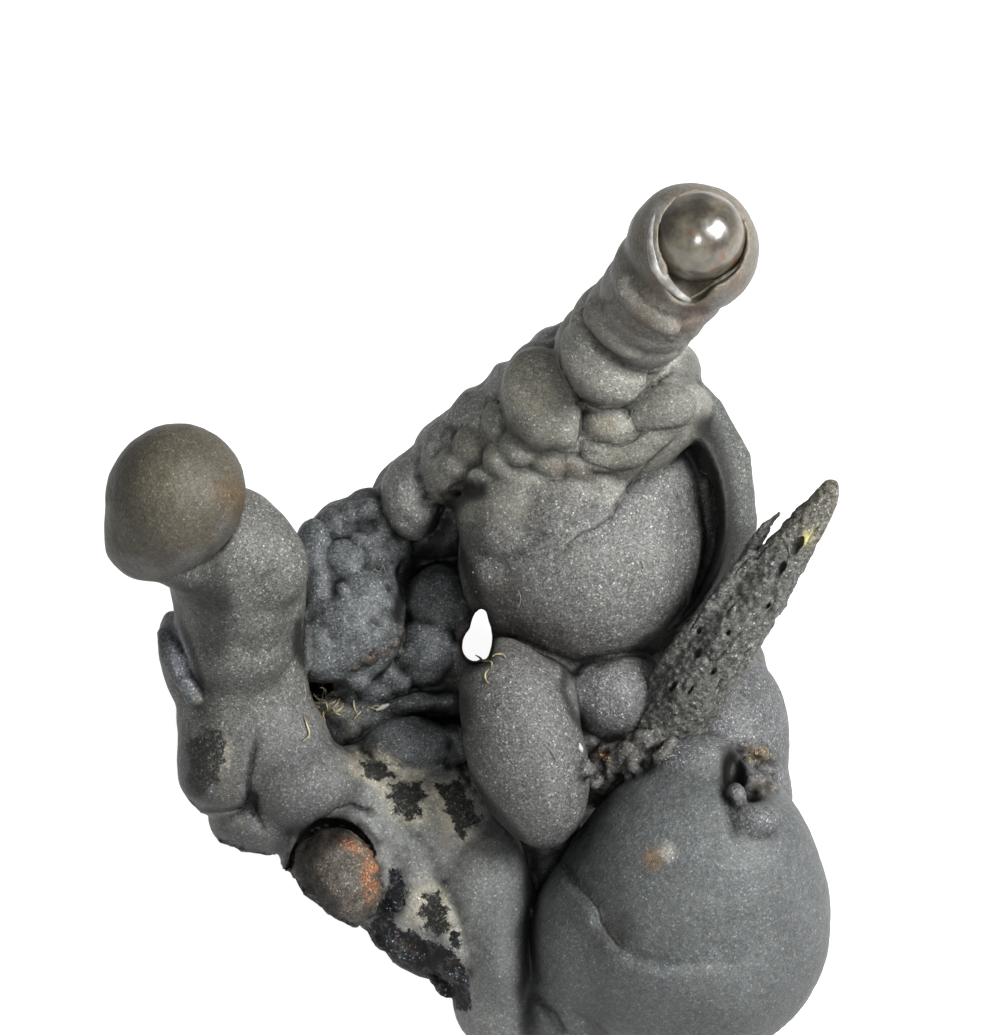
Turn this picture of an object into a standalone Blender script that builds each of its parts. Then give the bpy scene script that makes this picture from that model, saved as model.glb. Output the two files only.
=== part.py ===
"""Goethite specimen: one natural piece of grown-together stalactites and botryoidal lobes.

Places and sizes are in millimetres, and each shape turns them to metres as it is added.
Two frames share one origin, on the floor under the middle of the pictured face:
stand: X right, Y back, Z up.
face: right, up and out of the pictured face, which leans back by FACE_LEAN.
"""

import math
import random

import bmesh
import bpy
from mathutils import Matrix, Vector

MM = 0.001
NAME = "goethite"

# The pictured face leans back, and its middle is this far above the floor.
FACE_LEAN = math.radians(45.0)
FACE_HEIGHT = 44.5
# Moves the specimen so that the origin is under the middle of its outline.
CENTRING = Vector((2.6, 13.3, 0.0))

# Fineness of the fused surface, and of the faceted solid made from it.
CELL = 0.6 * MM
TRIANGLES = 9700
BALL_FINENESS = 4
ROD_SIDES = 24

# Horn, from its base to the cup at its end: (right, up, out, radius) of each grown sleeve.
SLEEVE_HALF_LENGTH = 3.6
HORN_CORE = 0.92
HORN_SLEEVES = (
    (11.0, 17.1, 16.0, 6.2),
    (12.5, 18.7, 20.5, 6.4),
    (14.0, 20.1, 24.5, 6.3),
    (15.7, 21.8, 28.5, 6.1),
    (17.4, 23.7, 32.0, 6.1),
    (19.0, 26.1, 35.0, 6.4),
    (21.6, 29.5, 37.5, 7.3),
)
# Column under the round cap, from the cap down to the foot.
COLUMN_AXIS = (
    (-34.5, -3.1, 19.0, 5.2),
    (-30.5, -3.5, 15.0, 7.2),
    (-29.2, -8.3, 11.0, 7.7),
    (-29.4, -14.1, 6.0, 7.5),
    (-29.1, -22.5, 3.0, 7.8),
)
# Flange that stands up round the right of the dome.
EAR_RIM = (
    (20.4, 14.7, 6.5, 2.6),
    (24.0, 11.9, 7.5, 2.5),
    (27.0, 6.6, 8.0, 2.4),
    (27.8, -0.3, 7.5, 2.3),
    (27.1, -6.6, 5.5, 2.4),
    (24.7, -12.5, 2.0, 3.0),
)
# Rough rod on the right, from its tip to its foot, and what grows along it.
SPIKE_AXIS = (
    (37.9, 3.0, 20.0, 1.3),
    (35.6, -0.2, 19.2, 2.1),
    (33.3, -3.7, 18.2, 2.9),
    (30.3, -8.2, 16.6, 3.6),
    (26.7, -13.0, 14.4, 4.1),
    (23.1, -18.8, 11.4, 4.3),
    (19.9, -24.0, 8.0, 4.1),
)
SPIKE_RIDGE = (
    (29.1, -4.8, 18.0, 1.0),
    (24.6, -9.9, 17.0, 1.1),
    (20.2, -15.7, 13.0, 1.1),
    (18.3, -19.8, 10.0, 1.0),
)
SPLINTER_AXIS = (
    (32.2, 0.5, 15.0, 0.5),
    (30.8, -1.2, 15.5, 0.8),
    (28.7, -4.4, 16.0, 1.0),
    (27.2, -7.1, 16.0, 1.0),
)
SPIKE_TURN = -34.0
SPIKE_PIT_PLACES = (
    (33.1, -4.9, 21.5),
    (30.3, -9.4, 21.0),
    (27.2, -11.8, 19.5),
    (23.0, -15.6, 16.5),
    (21.4, -20.0, 15.0),
)
SLIVER_AXIS = ((-38.0, -13.8, 3.0, 0.7), (-36.6, -16.7, 4.0, 0.8), (-35.0, -19.9, 4.0, 0.8))

# Broken edge at the lower left: a shallow shell-shaped fracture.
FRACTURE_MIDDLE = Vector((-14.0, -52.9, -12.0))
FRACTURE_FACING = Vector((-0.68, -0.70, 0.20)).normalized()
FRACTURE_RADIUS = 40.0
BULB_EDGE_MIDDLE = Vector((-19.0, -44.0, 2.0))
BULB_EDGE_FACING = Vector((-0.64, -0.77, -0.05)).normalized()
BULB_EDGE_RADIUS = 30.0

# Masses behind the pictured face, in the stand frame, and the small lobes that cover their backs.
BACK_MASSES = (
    ((2.0, -2.0, 20.0), (21.0, 17.0, 18.0)),
    ((-17.0, 2.0, 15.0), (14.0, 14.0, 14.0)),
    ((10.0, 6.0, 40.0), (14.0, 10.0, 14.0)),
    ((19.0, -5.0, 18.0), (14.0, 14.0, 16.0)),
    ((-9.0, -12.0, 12.0), (17.0, 13.0, 11.0)),
    ((16.0, 2.0, 50.0), (9.0, 8.0, 8.0)),
    ((3.0, 1.0, 7.0), (20.0, 15.0, 12.0)),
    ((-14.0, 1.0, 7.0), (15.0, 13.0, 12.0)),
    ((18.0, -3.0, 8.0), (13.0, 12.0, 12.5)),
    ((-8.0, -12.0, 6.0), (15.0, 11.0, 10.5)),
)
BACK_LOBES = (
    ((-21.0, 11.0, 17.0), 8.5),
    ((-9.0, 15.0, 13.0), 9.5),
    ((6.0, 17.0, 15.0), 9.0),
    ((19.0, 9.0, 12.0), 9.5),
    ((13.0, 15.0, 30.0), 7.5),
    ((-1.0, 14.0, 29.0), 7.5),
    ((-13.0, 8.0, 28.0), 6.5),
    ((22.0, 6.0, 27.0), 7.0),
    ((6.0, 14.0, 42.0), 6.5),
    ((17.0, 12.0, 43.0), 6.5),
    ((-29.0, 0.0, 15.0), 6.5),
    ((27.0, -7.0, 18.0), 6.5),
    ((-26.0, 7.0, 8.0), 6.5),
    ((27.0, 1.0, 8.0), 6.0),
    ((12.0, 10.0, 53.0), 5.0),
)
BUD_FIELDS = (
    ((2.0, 4.0, 21.0), (21.0, 15.0, 18.0)),
    ((-17.0, 4.0, 15.0), (17.0, 14.0, 15.0)),
    ((10.0, 7.0, 38.0), (14.0, 11.0, 14.0)),
    ((18.0, -2.0, 19.0), (14.0, 14.0, 15.0)),
)
BUDS_IN_FIELD = 20
BUD_RADIUS = (3.4, 5.4)
BUD_REACH = 0.95
BUD_LOWEST = 2.0
BUD_SEED = 7
GOLDEN_ANGLE = math.radians(137.508)

COLOUR = (0.075, 0.075, 0.078, 1.0)
ROUGHNESS = 0.62
METALLIC = 0.15

STAND = Matrix.Translation(CENTRING)
FACE = Matrix.Translation(CENTRING + Vector((0.0, 0.0, FACE_HEIGHT))) @ Matrix(
    (
        (1.0, 0.0, 0.0, 0.0),
        (0.0, math.sin(FACE_LEAN), -math.cos(FACE_LEAN), 0.0),
        (0.0, math.cos(FACE_LEAN), math.sin(FACE_LEAN), 0.0),
        (0.0, 0.0, 0.0, 1.0),
    )
)


def add_ball(shape, at, size, turn=0.0, frame=FACE):
    """Adds a lobe: an ellipsoid of half-sizes size, turned in the plane of its frame's first two axes."""
    place = (
        Matrix.Scale(MM, 4)
        @ frame
        @ Matrix.Translation(at)
        @ Matrix.Rotation(math.radians(turn), 4, "Z")
        @ Matrix.Diagonal((*size, 1.0))
    )
    bmesh.ops.create_icosphere(shape, subdivisions=BALL_FINENESS, radius=1.0, matrix=place)


def add_sleeve(shape, at, along, radius, frame=FACE):
    """Adds a short round sleeve: a ball of the radius, flattened along the line it was grown on."""
    place = (
        Matrix.Scale(MM, 4)
        @ frame
        @ Matrix.Translation(at)
        @ along.to_track_quat("Z", "Y").to_matrix().to_4x4()
        @ Matrix.Diagonal((radius, radius, SLEEVE_HALF_LENGTH, 1.0))
    )
    bmesh.ops.create_icosphere(shape, subdivisions=BALL_FINENESS, radius=1.0, matrix=place)


def add_rod(shape, axis, frame=FACE):
    """Adds a rod that follows the points of axis, each with its own radius, with round joints and ends."""
    for *at, radius in axis:
        add_ball(shape, at, (radius, radius, radius), frame=frame)
    for (*start, start_radius), (*end, end_radius) in zip(axis, axis[1:]):
        along = Vector(end) - Vector(start)
        place = (
            Matrix.Scale(MM, 4)
            @ frame
            @ Matrix.Translation((Vector(start) + Vector(end)) / 2)
            @ along.to_track_quat("Z", "Y").to_matrix().to_4x4()
        )
        bmesh.ops.create_cone(
            shape,
            cap_ends=True,
            segments=ROD_SIDES,
            radius1=start_radius,
            radius2=end_radius,
            depth=along.length,
            matrix=place,
        )


def back_mass(shape):
    """Body behind the pictured face, down to the floor, with larger lobes on its back."""
    for at, size in BACK_MASSES:
        add_ball(shape, at, size, frame=STAND)
    for at, radius in BACK_LOBES:
        add_ball(shape, at, (radius, 0.9 * radius, radius), frame=STAND)


def back_buds(shape):
    """Small lobes spread over the back by the golden angle."""
    draw = random.Random(BUD_SEED)
    for at, size in BUD_FIELDS:
        for index in range(BUDS_IN_FIELD):
            height = 1.0 - 2.0 * (index + 0.5) / BUDS_IN_FIELD
            angle = index * GOLDEN_ANGLE + 1.3
            reach = math.sqrt(1.0 - height * height)
            facing = Vector((reach * math.cos(angle), reach * math.sin(angle), height))
            radius = draw.uniform(*BUD_RADIUS)
            place = Vector(at) + BUD_REACH * Vector([a * b for a, b in zip(facing, size)])
            if facing.y > 0.25 and place.z > BUD_LOWEST:
                add_ball(shape, place, (radius, radius, 0.95 * radius), frame=STAND)


def ear(shape):
    """Bowl behind the dome, with the flange along its right edge."""
    add_ball(shape, (13.5, 0.6, 5.0), (15.3, 16.4, 13.0), turn=-4.0)
    add_ball(shape, (16.5, 0.5, -3.0), (12.5, 15.0, 11.0), turn=-4.0)
    add_ball(shape, (20.6, 12.0, 2.5), (5.0, 4.8, 6.0))
    add_rod(shape, EAR_RIM)


def ear_groove(cutter):
    """Deep groove between the dome and the flange."""
    add_ball(cutter, (11.3, -0.5, 14.0), (15.0, 16.3, 14.0))


def dome(shape):
    """Dome with the raised layer over its upper left."""
    add_ball(shape, (10.1, -4.5, 3.0), (14.2, 13.5, 12.5))
    add_ball(shape, (6.5, 2.5, 8.0), (11.0, 7.6, 9.0), turn=28.0)
    add_ball(shape, (1.5, -0.3, 9.0), (5.5, 5.0, 5.0))
    add_ball(shape, (8.0, -17.5, 5.5), (4.6, 3.8, 5.0))


def globe(shape):
    """Big globe with its stepped growth layer, and what fills the gap to the platform."""
    add_ball(shape, (22.7, -46.3, 4.0), (16.3, 16.3, 16.0))
    add_ball(shape, (23.4, -40.3, 9.5), (13.4, 13.1, 12.5), turn=-10.0)
    add_ball(shape, (9.6, -49.4, 4.0), (5.3, 8.8, 10.0))
    add_ball(shape, (8.2, -57.4, 1.0), (5.6, 5.6, 8.0))
    add_ball(shape, (6.7, -46.8, -8.0), (5.9, 12.9, 8.0))


def shoulder(shape):
    """Mass between the spike and the globe."""
    add_ball(shape, (26.2, -25.7, -2.0), (8.3, 10.7, 11.0))
    add_ball(shape, (27.7, -32.3, -1.0), (6.9, 7.0, 10.0))
    add_ball(shape, (29.9, -35.0, 9.0), (2.6, 2.1, 3.5))


def shoulder_pit(cutter):
    """Pit in the shoulder, above the globe."""
    add_ball(cutter, (27.8, -28.6, 11.0), (1.7, 2.3, 5.0))


def pit_lumps(shape):
    """Small ball and rough lump in the pit."""
    add_ball(shape, (27.4, -31.6, 8.5), (1.5, 1.6, 2.0))
    add_ball(shape, (30.2, -31.1, 8.0), (2.1, 2.3, 3.0))


def oblong_bulbs(shape):
    """Oblong bulb, the bulb beside it and the rubble under that one."""
    add_ball(shape, (3.3, -25.7, 12.0), (6.8, 12.5, 7.0), turn=17.0)
    add_ball(shape, (0.9, -17.7, 10.0), (4.4, 4.1, 5.0), turn=16.0)
    add_ball(shape, (13.4, -20.6, 10.0), (5.7, 4.8, 6.0))
    add_ball(shape, (16.7, -27.0, 7.0), (5.5, 3.2, 5.0), turn=20.0)
    add_ball(shape, (12.5, -28.9, 5.0), (3.5, 3.2, 5.0))
    add_ball(shape, (10.5, -26.5, 2.0), (8.5, 7.0, 6.5))


def column(shape):
    """Left column with its round cap, and the sliver on its outer side."""
    add_rod(shape, COLUMN_AXIS)
    add_ball(shape, (-35.9, 2.3, 24.0), (7.7, 8.4, 8.0), turn=-33.0)
    add_ball(shape, (-39.2, -2.3, 22.0), (5.1, 4.7, 6.0), turn=-33.0)
    add_rod(shape, SLIVER_AXIS)
    add_ball(shape, (-37.2, -17.5, 1.0), (1.5, 4.2, 3.0), turn=15.0)


def left_bulbs(shape):
    """Bulbs at the column's foot."""
    add_ball(shape, (-31.1, -29.3, 6.0), (5.0, 5.1, 6.0))
    add_ball(shape, (-22.0, -30.8, 5.8), (6.2, 6.5, 6.5))
    add_ball(shape, (-27.3, -34.8, 1.0), (6.0, 4.4, 6.0))


def platform(shape):
    """Gently rounded platform between the left bulbs and the globe, and the crust round the broken bulb."""
    add_ball(shape, (-6.4, -42.3, -2.0), (10.3, 11.7, 7.0), turn=10.0)
    add_ball(shape, (-9.9, -27.9, -1.6), (5.4, 4.9, 7.0))
    add_ball(shape, (-0.8, -43.4, 2.0), (5.2, 7.7, 6.0))
    add_ball(shape, (0.7, -54.9, 1.0), (3.8, 7.2, 8.0), turn=6.0)
    add_ball(shape, (-14.0, -40.0, -3.0), (8.2, 7.0, 8.0))
    add_ball(shape, (-18.2, -40.6, 3.0), (6.7, 6.9, 6.0))


def bulb_socket(cutter):
    """Hollow where the crust broke off round the broken bulb."""
    add_ball(cutter, (-18.2, -41.7, 7.0), (5.4, 6.2, 7.0))


def fracture(cutter, middle, facing, radius):
    """Broken surface: a big ball that touches middle and lies on the side that the surface faces."""
    add_ball(cutter, middle + facing * radius, (radius, radius, radius))


def broken_bulb(shape):
    """Core of the bulb that lost its crust."""
    add_ball(shape, (-18.2, -42.1, 4.5), (5.1, 5.8, 6.0), turn=20.0)


def middle_lumps(shape):
    """Wall between the column and the dome, with its lumps and ledges."""
    add_ball(shape, (-7.0, 1.5, -8.0), (9.0, 7.0, 6.5), turn=30.0)
    add_ball(shape, (-9.0, -6.0, -12.0), (9.0, 7.0, 7.0))
    add_ball(shape, (-16.2, -6.4, -6.0), (7.0, 8.2, 6.0))
    add_ball(shape, (-14.1, -24.0, -5.0), (7.3, 5.2, 6.0))
    add_ball(shape, (-21.4, -6.3, 1.0), (2.8, 5.8, 4.0))
    add_ball(shape, (-14.8, 1.1, -1.0), (2.2, 2.2, 3.0))
    add_ball(shape, (-17.9, -0.5, -1.0), (2.3, 2.1, 3.0))
    add_ball(shape, (-17.5, -5.0, 3.0), (2.5, 2.5, 2.8))
    add_ball(shape, (-13.6, -4.7, -2.0), (4.4, 5.6, 5.0), turn=-20.0)
    add_ball(shape, (-17.3, -12.8, 1.0), (6.3, 6.3, 6.0))
    add_ball(shape, (-20.1, -15.4, 2.0), (3.2, 3.7, 4.0))
    add_ball(shape, (-6.8, -10.4, -5.5), (4.5, 4.8, 5.5))
    add_ball(shape, (-8.2, -16.4, -4.5), (4.7, 4.3, 5.5))
    add_ball(shape, (-12.1, -19.0, -5.0), (4.2, 3.0, 5.0))
    add_ball(shape, (-7.4, -20.9, -4.0), (4.2, 1.1, 4.0), turn=12.0)
    add_ball(shape, (-7.8, -23.2, -4.0), (4.4, 1.4, 4.0), turn=10.0)


def arm(shape):
    """Lumpy arm from the horn's base down to the left."""
    add_ball(shape, (1.7, 9.0, 2.0), (7.4, 5.1, 7.0), turn=30.0)
    add_ball(shape, (9.0, 13.0, 8.0), (9.5, 6.0, 6.5), turn=38.0)
    add_ball(shape, (-9.4, 2.5, 1.0), (3.8, 5.2, 5.0))
    add_ball(shape, (-5.2, 7.2, 2.0), (4.4, 4.6, 6.0))
    add_ball(shape, (-1.0, 10.8, 4.0), (4.3, 4.4, 6.0))
    add_ball(shape, (3.1, 13.8, 6.0), (4.4, 4.6, 6.5))
    add_ball(shape, (7.5, 17.4, 8.0), (4.4, 4.4, 7.0))
    add_ball(shape, (11.3, 19.5, 10.0), (4.4, 4.4, 7.0))


def horn_lumps(shape):
    """Lumps crowded round the horn's base."""
    add_ball(shape, (-3.4, 6.6, 9.0), (2.5, 3.1, 3.2))
    add_ball(shape, (0.7, 6.6, 12.0), (2.3, 2.4, 3.0))
    add_ball(shape, (6.0, 6.3, 13.0), (5.5, 3.0, 4.0), turn=-8.0)
    add_ball(shape, (21.8, 16.8, 5.0), (2.0, 3.1, 4.0))
    add_ball(shape, (18.4, 12.6, 13.0), (4.1, 3.2, 4.5), turn=10.0)
    add_ball(shape, (22.4, 12.3, 9.0), (3.0, 2.5, 4.0))
    add_ball(shape, (13.3, 7.7, 15.0), (4.1, 2.7, 4.0))
    add_ball(shape, (12.9, 10.5, 17.5), (3.1, 2.4, 3.2))
    add_ball(shape, (5.2, 13.8, 15.0), (4.7, 6.9, 5.2), turn=10.0)
    add_ball(shape, (7.5, 9.7, 17.0), (2.7, 2.7, 3.5))


def horn(shape):
    """Horn of stacked round sleeves, with a round end."""
    add_rod(shape, [(*at, HORN_CORE * radius) for *at, radius in HORN_SLEEVES])
    for (*start, _), (*at, radius) in zip(HORN_SLEEVES, HORN_SLEEVES[1:-1]):
        add_sleeve(shape, at, Vector(at) - Vector(start), radius)
    *at, radius = HORN_SLEEVES[-1]
    add_ball(shape, at, (radius, radius, radius))


def horn_cup(cutter):
    """Open cup in the horn's end, with the notch at its lower edge."""
    add_ball(cutter, (22.6, 30.2, 43.0), (5.0, 5.4, 6.2))
    add_ball(cutter, (21.7, 27.2, 42.0), (3.1, 4.1, 4.5), turn=-20.0)


def cup_ball(shape):
    """Ball that fills most of the cup."""
    add_ball(shape, (22.5, 31.2, 40.5), (4.6, 4.6, 4.7))


def spike(shape):
    """Rough rod with its side ridge and splinter."""
    add_rod(shape, SPIKE_AXIS)
    add_rod(shape, SPIKE_RIDGE)
    add_rod(shape, SPLINTER_AXIS)


def spike_pits(cutter):
    """Long holes in the rod, along its length."""
    for at in SPIKE_PIT_PLACES:
        add_ball(cutter, at, (0.6, 1.8, 1.6), turn=SPIKE_TURN)


def see_through_hole(cutter):
    """Gap beside the dome that goes right through, with the hollow it opens into at the back."""
    add_ball(cutter, (-1.9, -14.0, 0.0), (1.5, 3.1, 60.0))
    add_ball(cutter, (-2.1, -14.7, -34.0), (4.4, 4.8, 26.0))


def shape_of(*makers):
    """Mesh of the shapes that the makers add."""
    shape = bmesh.new()
    for maker in makers:
        maker(shape)
    mesh = bpy.data.meshes.new("shape")
    shape.to_mesh(mesh)
    shape.free()
    return mesh


def baked(obj):
    """Mesh of the object with its modifiers applied. The object is removed."""
    graph = bpy.context.evaluated_depsgraph_get()
    mesh = bpy.data.meshes.new_from_object(obj.evaluated_get(graph))
    bpy.data.objects.remove(obj)
    return mesh


def fused(mesh):
    """The overlapping shapes of the mesh as one closed surface."""
    obj = bpy.data.objects.new("fused", mesh)
    bpy.context.scene.collection.objects.link(obj)
    remesh = obj.modifiers.new("Fuse", "REMESH")
    remesh.mode = "VOXEL"
    remesh.voxel_size = CELL
    return baked(obj)


def joined(first, second):
    """One mesh that holds both."""
    shape = bmesh.new()
    shape.from_mesh(first)
    shape.from_mesh(second)
    mesh = bpy.data.meshes.new("joined")
    shape.to_mesh(mesh)
    shape.free()
    return mesh


def without(mesh, cutter_mesh):
    """The mesh with the fused cutter taken away."""
    obj = bpy.data.objects.new("body", mesh)
    cutter = bpy.data.objects.new("cutter", fused(cutter_mesh))
    for each in (obj, cutter):
        bpy.context.scene.collection.objects.link(each)
    boolean = obj.modifiers.new("Cut", "BOOLEAN")
    boolean.operation = "DIFFERENCE"
    boolean.object = cutter
    cut = baked(obj)
    bpy.data.objects.remove(cutter)
    return cut


def broken_edge(cutter):
    """Broken edge of the platform, at the lower left."""
    fracture(cutter, FRACTURE_MIDDLE, FRACTURE_FACING, FRACTURE_RADIUS)


def bulb_edge(cutter):
    """Broken edge of the broken bulb."""
    fracture(cutter, BULB_EDGE_MIDDLE, BULB_EDGE_FACING, BULB_EDGE_RADIUS)


def grown_mesh():
    """The whole specimen as one fine surface, not yet cut flat."""
    core = fused(shape_of(back_mass, back_buds, ear))
    core = without(core, shape_of(ear_groove))
    grown = shape_of(
        dome, globe, shoulder, oblong_bulbs, column, left_bulbs, platform, middle_lumps, arm, horn_lumps, horn, spike
    )
    body = fused(joined(core, grown))
    body = without(body, shape_of(broken_edge, bulb_socket, shoulder_pit, horn_cup, spike_pits))
    inlays = without(fused(shape_of(broken_bulb)), shape_of(bulb_edge))
    inlays = joined(inlays, shape_of(pit_lumps, cup_ball))
    return fused(without(fused(joined(body, inlays)), shape_of(see_through_hole, bulb_edge)))


def floor_cutter(collection):
    """Block under the floor, whose top is the plane that the specimen was cut off along."""
    shape = bmesh.new()
    bmesh.ops.create_cube(shape, size=1.0)
    bmesh.ops.scale(shape, vec=(200.0 * MM, 200.0 * MM, 50.0 * MM), verts=shape.verts)
    bmesh.ops.translate(shape, vec=(0.0, 0.0, -25.0 * MM), verts=shape.verts)
    mesh = bpy.data.meshes.new("floor_cutter")
    shape.to_mesh(mesh)
    shape.free()
    block = bpy.data.objects.new("floor_cutter", mesh)
    collection.objects.link(block)
    block.hide_render = True
    block.display_type = "WIRE"
    return block


def goethite_finish():
    """Dark grey satin goethite."""
    material = bpy.data.materials.new(NAME)
    material.use_nodes = True
    surface = material.node_tree.nodes["Principled BSDF"]
    surface.inputs["Base Color"].default_value = COLOUR
    surface.inputs["Roughness"].default_value = ROUGHNESS
    surface.inputs["Metallic"].default_value = METALLIC
    return material


def triangle_count(mesh):
    """Number of triangles that the mesh's faces hold."""
    return sum(len(face.vertices) - 2 for face in mesh.polygons)


def collection_named(name):
    """New collection in the scene."""
    collection = bpy.data.collections.new(name)
    bpy.context.scene.collection.children.link(collection)
    return collection


def main():
    """Clears the scene and builds the specimen."""
    for obj in list(bpy.data.objects):
        bpy.data.objects.remove(obj, do_unlink=True)
    specimen = collection_named("goethite_specimen")
    cutters = collection_named("cutters")
    mesh = grown_mesh()
    mesh.shade_smooth()
    mesh.materials.clear()
    mesh.materials.append(goethite_finish())
    body = bpy.data.objects.new(NAME, mesh)
    specimen.objects.link(body)
    thin = body.modifiers.new("Facets", "DECIMATE")
    thin.ratio = TRIANGLES / triangle_count(mesh)
    flat = body.modifiers.new("Flat base", "BOOLEAN")
    flat.operation = "DIFFERENCE"
    flat.object = floor_cutter(cutters)


main()
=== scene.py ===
"""Looks of the goethite specimen: its skin, what grows and lies on it, their finishes, light and camera.

Places and sizes are in millimetres, in one of two frames. In the stand frame X is right, Y back and Z up.
The face frame's axes are right, up and out of the pictured face, which leans back. What is drawn on the skin
is placed in picture millimetres: right and up in the face's plane, as the camera sees it.
"""

import logging
import math
import random
from collections.abc import Iterator
from dataclasses import dataclass
from enum import Enum

import bmesh
import bpy
import numpy as np
import openvdb
from mathutils import Matrix, Vector, noise

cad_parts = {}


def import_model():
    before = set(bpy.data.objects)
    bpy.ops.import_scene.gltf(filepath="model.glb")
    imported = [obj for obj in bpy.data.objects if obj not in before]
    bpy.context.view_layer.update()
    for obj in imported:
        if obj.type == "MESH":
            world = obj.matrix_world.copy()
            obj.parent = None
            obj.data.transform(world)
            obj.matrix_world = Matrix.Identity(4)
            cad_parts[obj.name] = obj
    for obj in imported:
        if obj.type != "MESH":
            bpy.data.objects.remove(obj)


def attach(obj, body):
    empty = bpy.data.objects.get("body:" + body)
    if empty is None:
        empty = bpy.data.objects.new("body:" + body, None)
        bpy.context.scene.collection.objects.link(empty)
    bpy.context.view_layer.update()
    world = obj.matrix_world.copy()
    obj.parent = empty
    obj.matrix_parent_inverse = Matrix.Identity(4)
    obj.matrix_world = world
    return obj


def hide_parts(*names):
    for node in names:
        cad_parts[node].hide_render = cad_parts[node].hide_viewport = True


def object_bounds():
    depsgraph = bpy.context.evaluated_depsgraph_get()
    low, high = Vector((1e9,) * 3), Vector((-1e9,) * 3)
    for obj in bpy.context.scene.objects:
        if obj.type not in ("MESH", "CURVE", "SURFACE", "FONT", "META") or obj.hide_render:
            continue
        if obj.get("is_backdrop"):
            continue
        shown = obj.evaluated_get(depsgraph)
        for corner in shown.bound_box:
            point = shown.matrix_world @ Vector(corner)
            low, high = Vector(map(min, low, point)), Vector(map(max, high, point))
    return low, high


log = logging.getLogger("goethite")

MM = 0.001
# Albedo of a surface, as a share of the brightness that the picture shows it with.
ALBEDO = 0.36
NODE = "goethite"
BODY = "root"
Point = tuple[float, float, float]
# Two numbers: a place of the picture, half-sizes or a range.
Pair = tuple[float, float]
Line = tuple[Pair, ...]
# Places along a rod, each with the radius there.
Track = tuple[tuple[float, float, float, float], ...]
# Lowest and highest corner, in metres.
Box = list[list[float]]
Socket = bpy.types.NodeSocket
Array = np.ndarray
Mesh = bpy.types.Mesh
Piece = bpy.types.Object


class Frame(Enum):
    """The frame that a growth's place is given in."""

    FACE = 1
    STAND = 2


class Part(Enum):
    """The sub-parts that differ in tone."""

    BACK = 0
    EAR = 1
    DOME = 2
    GLOBE = 3
    SHOULDER = 4
    BULB = 5
    COLUMN = 6
    CAP = 7
    LEFT_BULB = 8
    PLATFORM = 9
    BROKEN_BULB = 10
    MIDDLE = 11
    ARM = 12
    LUMP = 13
    HORN = 14
    FRACTURE = 15
    HOLLOW = 16
    RUBBLE = 17
    SPIKE = 18
    HORN_END = 19
    CUP = 20
    CRUST = 21


@dataclass(frozen=True)
class Standing:
    """How the pictured face stands over the floor, and from where it is seen."""

    lean: float = math.radians(45.0)
    height: float = 44.5
    centring: Point = (2.6, 13.3, 0.0)
    camera_distance: float = 668.6

    @property
    def turn(self) -> Array:
        """The face's axes as columns, in the stand frame."""
        s, c = math.sin(self.lean), math.cos(self.lean)
        return np.array([[1.0, 0.0, 0.0], [0.0, s, -c], [0.0, c, s]])

    @property
    def middle(self) -> Array:
        """The middle of the face, in the stand frame."""
        return np.array(self.centring) + np.array([0.0, 0.0, self.height])

    def place(self, point: Point, frame: Frame) -> Array:
        """Moves a point into the stand frame, from the frame it is given in.

        Args:
            point: the point, in millimetres.
            frame: the frame it is given in.

        Returns:
            The point as scene coordinates, in millimetres.
        """
        if frame is Frame.STAND:
            return np.array(point) + np.array(self.centring)
        return self.turn @ np.array(point) + self.middle

    def in_face(self, points: Array) -> Array:
        """Scene points as face coordinates (right, up, out)."""
        return (points - self.middle) @ self.turn

    def seen(self, points: Array) -> Array:
        """Scene points as the camera sees them: right and up, in picture millimetres."""
        face = self.in_face(points)
        return face[..., :2] * (self.camera_distance / (self.camera_distance - face[..., 2]))[..., None]


STAND = Standing()


@dataclass(frozen=True)
class Ball:
    """A lobe: an ellipsoid of half-sizes size."""

    at: Point
    size: Point
    turn: float = 0.0
    soft: float = 0.5
    frame: Frame = Frame.FACE
    along: Point | None = None

    @classmethod
    def rows(cls, *rows: tuple[float, ...]) -> tuple["Ball", ...]:
        """Lobes from rows of numbers: place, half-sizes, turn and soft."""
        return tuple(cls(row[:3], row[3:6], *row[6:]) for row in rows)

    @property
    def axes(self) -> Array:
        """The lobe's own axes as columns, in the stand frame.

        Returns:
            A 3 x 3 matrix.
        """
        base = STAND.turn if self.frame is Frame.FACE else np.eye(3)
        if self.along is not None:
            return base @ np.array(Vector(self.along).to_track_quat("Z", "Y").to_matrix())
        return base @ np.array(Matrix.Rotation(math.radians(self.turn), 3, "Z"))

    def box(self) -> tuple[Array, Array]:
        """Lowest and highest corner.

        Returns:
            The two corners, in millimetres.
        """
        reach = np.sqrt(((self.axes * np.array(self.size)) ** 2).sum(1))
        middle = STAND.place(self.at, self.frame)
        return middle - reach, middle + reach

    def distance(self, points: Array) -> Array:
        """Distance of the points from the lobe's surface, negative inside.

        Args:
            points: places, in millimetres.

        Returns:
            One distance for each point.
        """
        size = np.array(self.size)
        local = (points - STAND.place(self.at, self.frame)) @ self.axes
        near = np.sqrt(((local / size) ** 2).sum(-1))
        slope = np.sqrt(((local / size**2) ** 2).sum(-1)) + 1e-9
        return near * (near - 1.0) / slope


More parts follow.
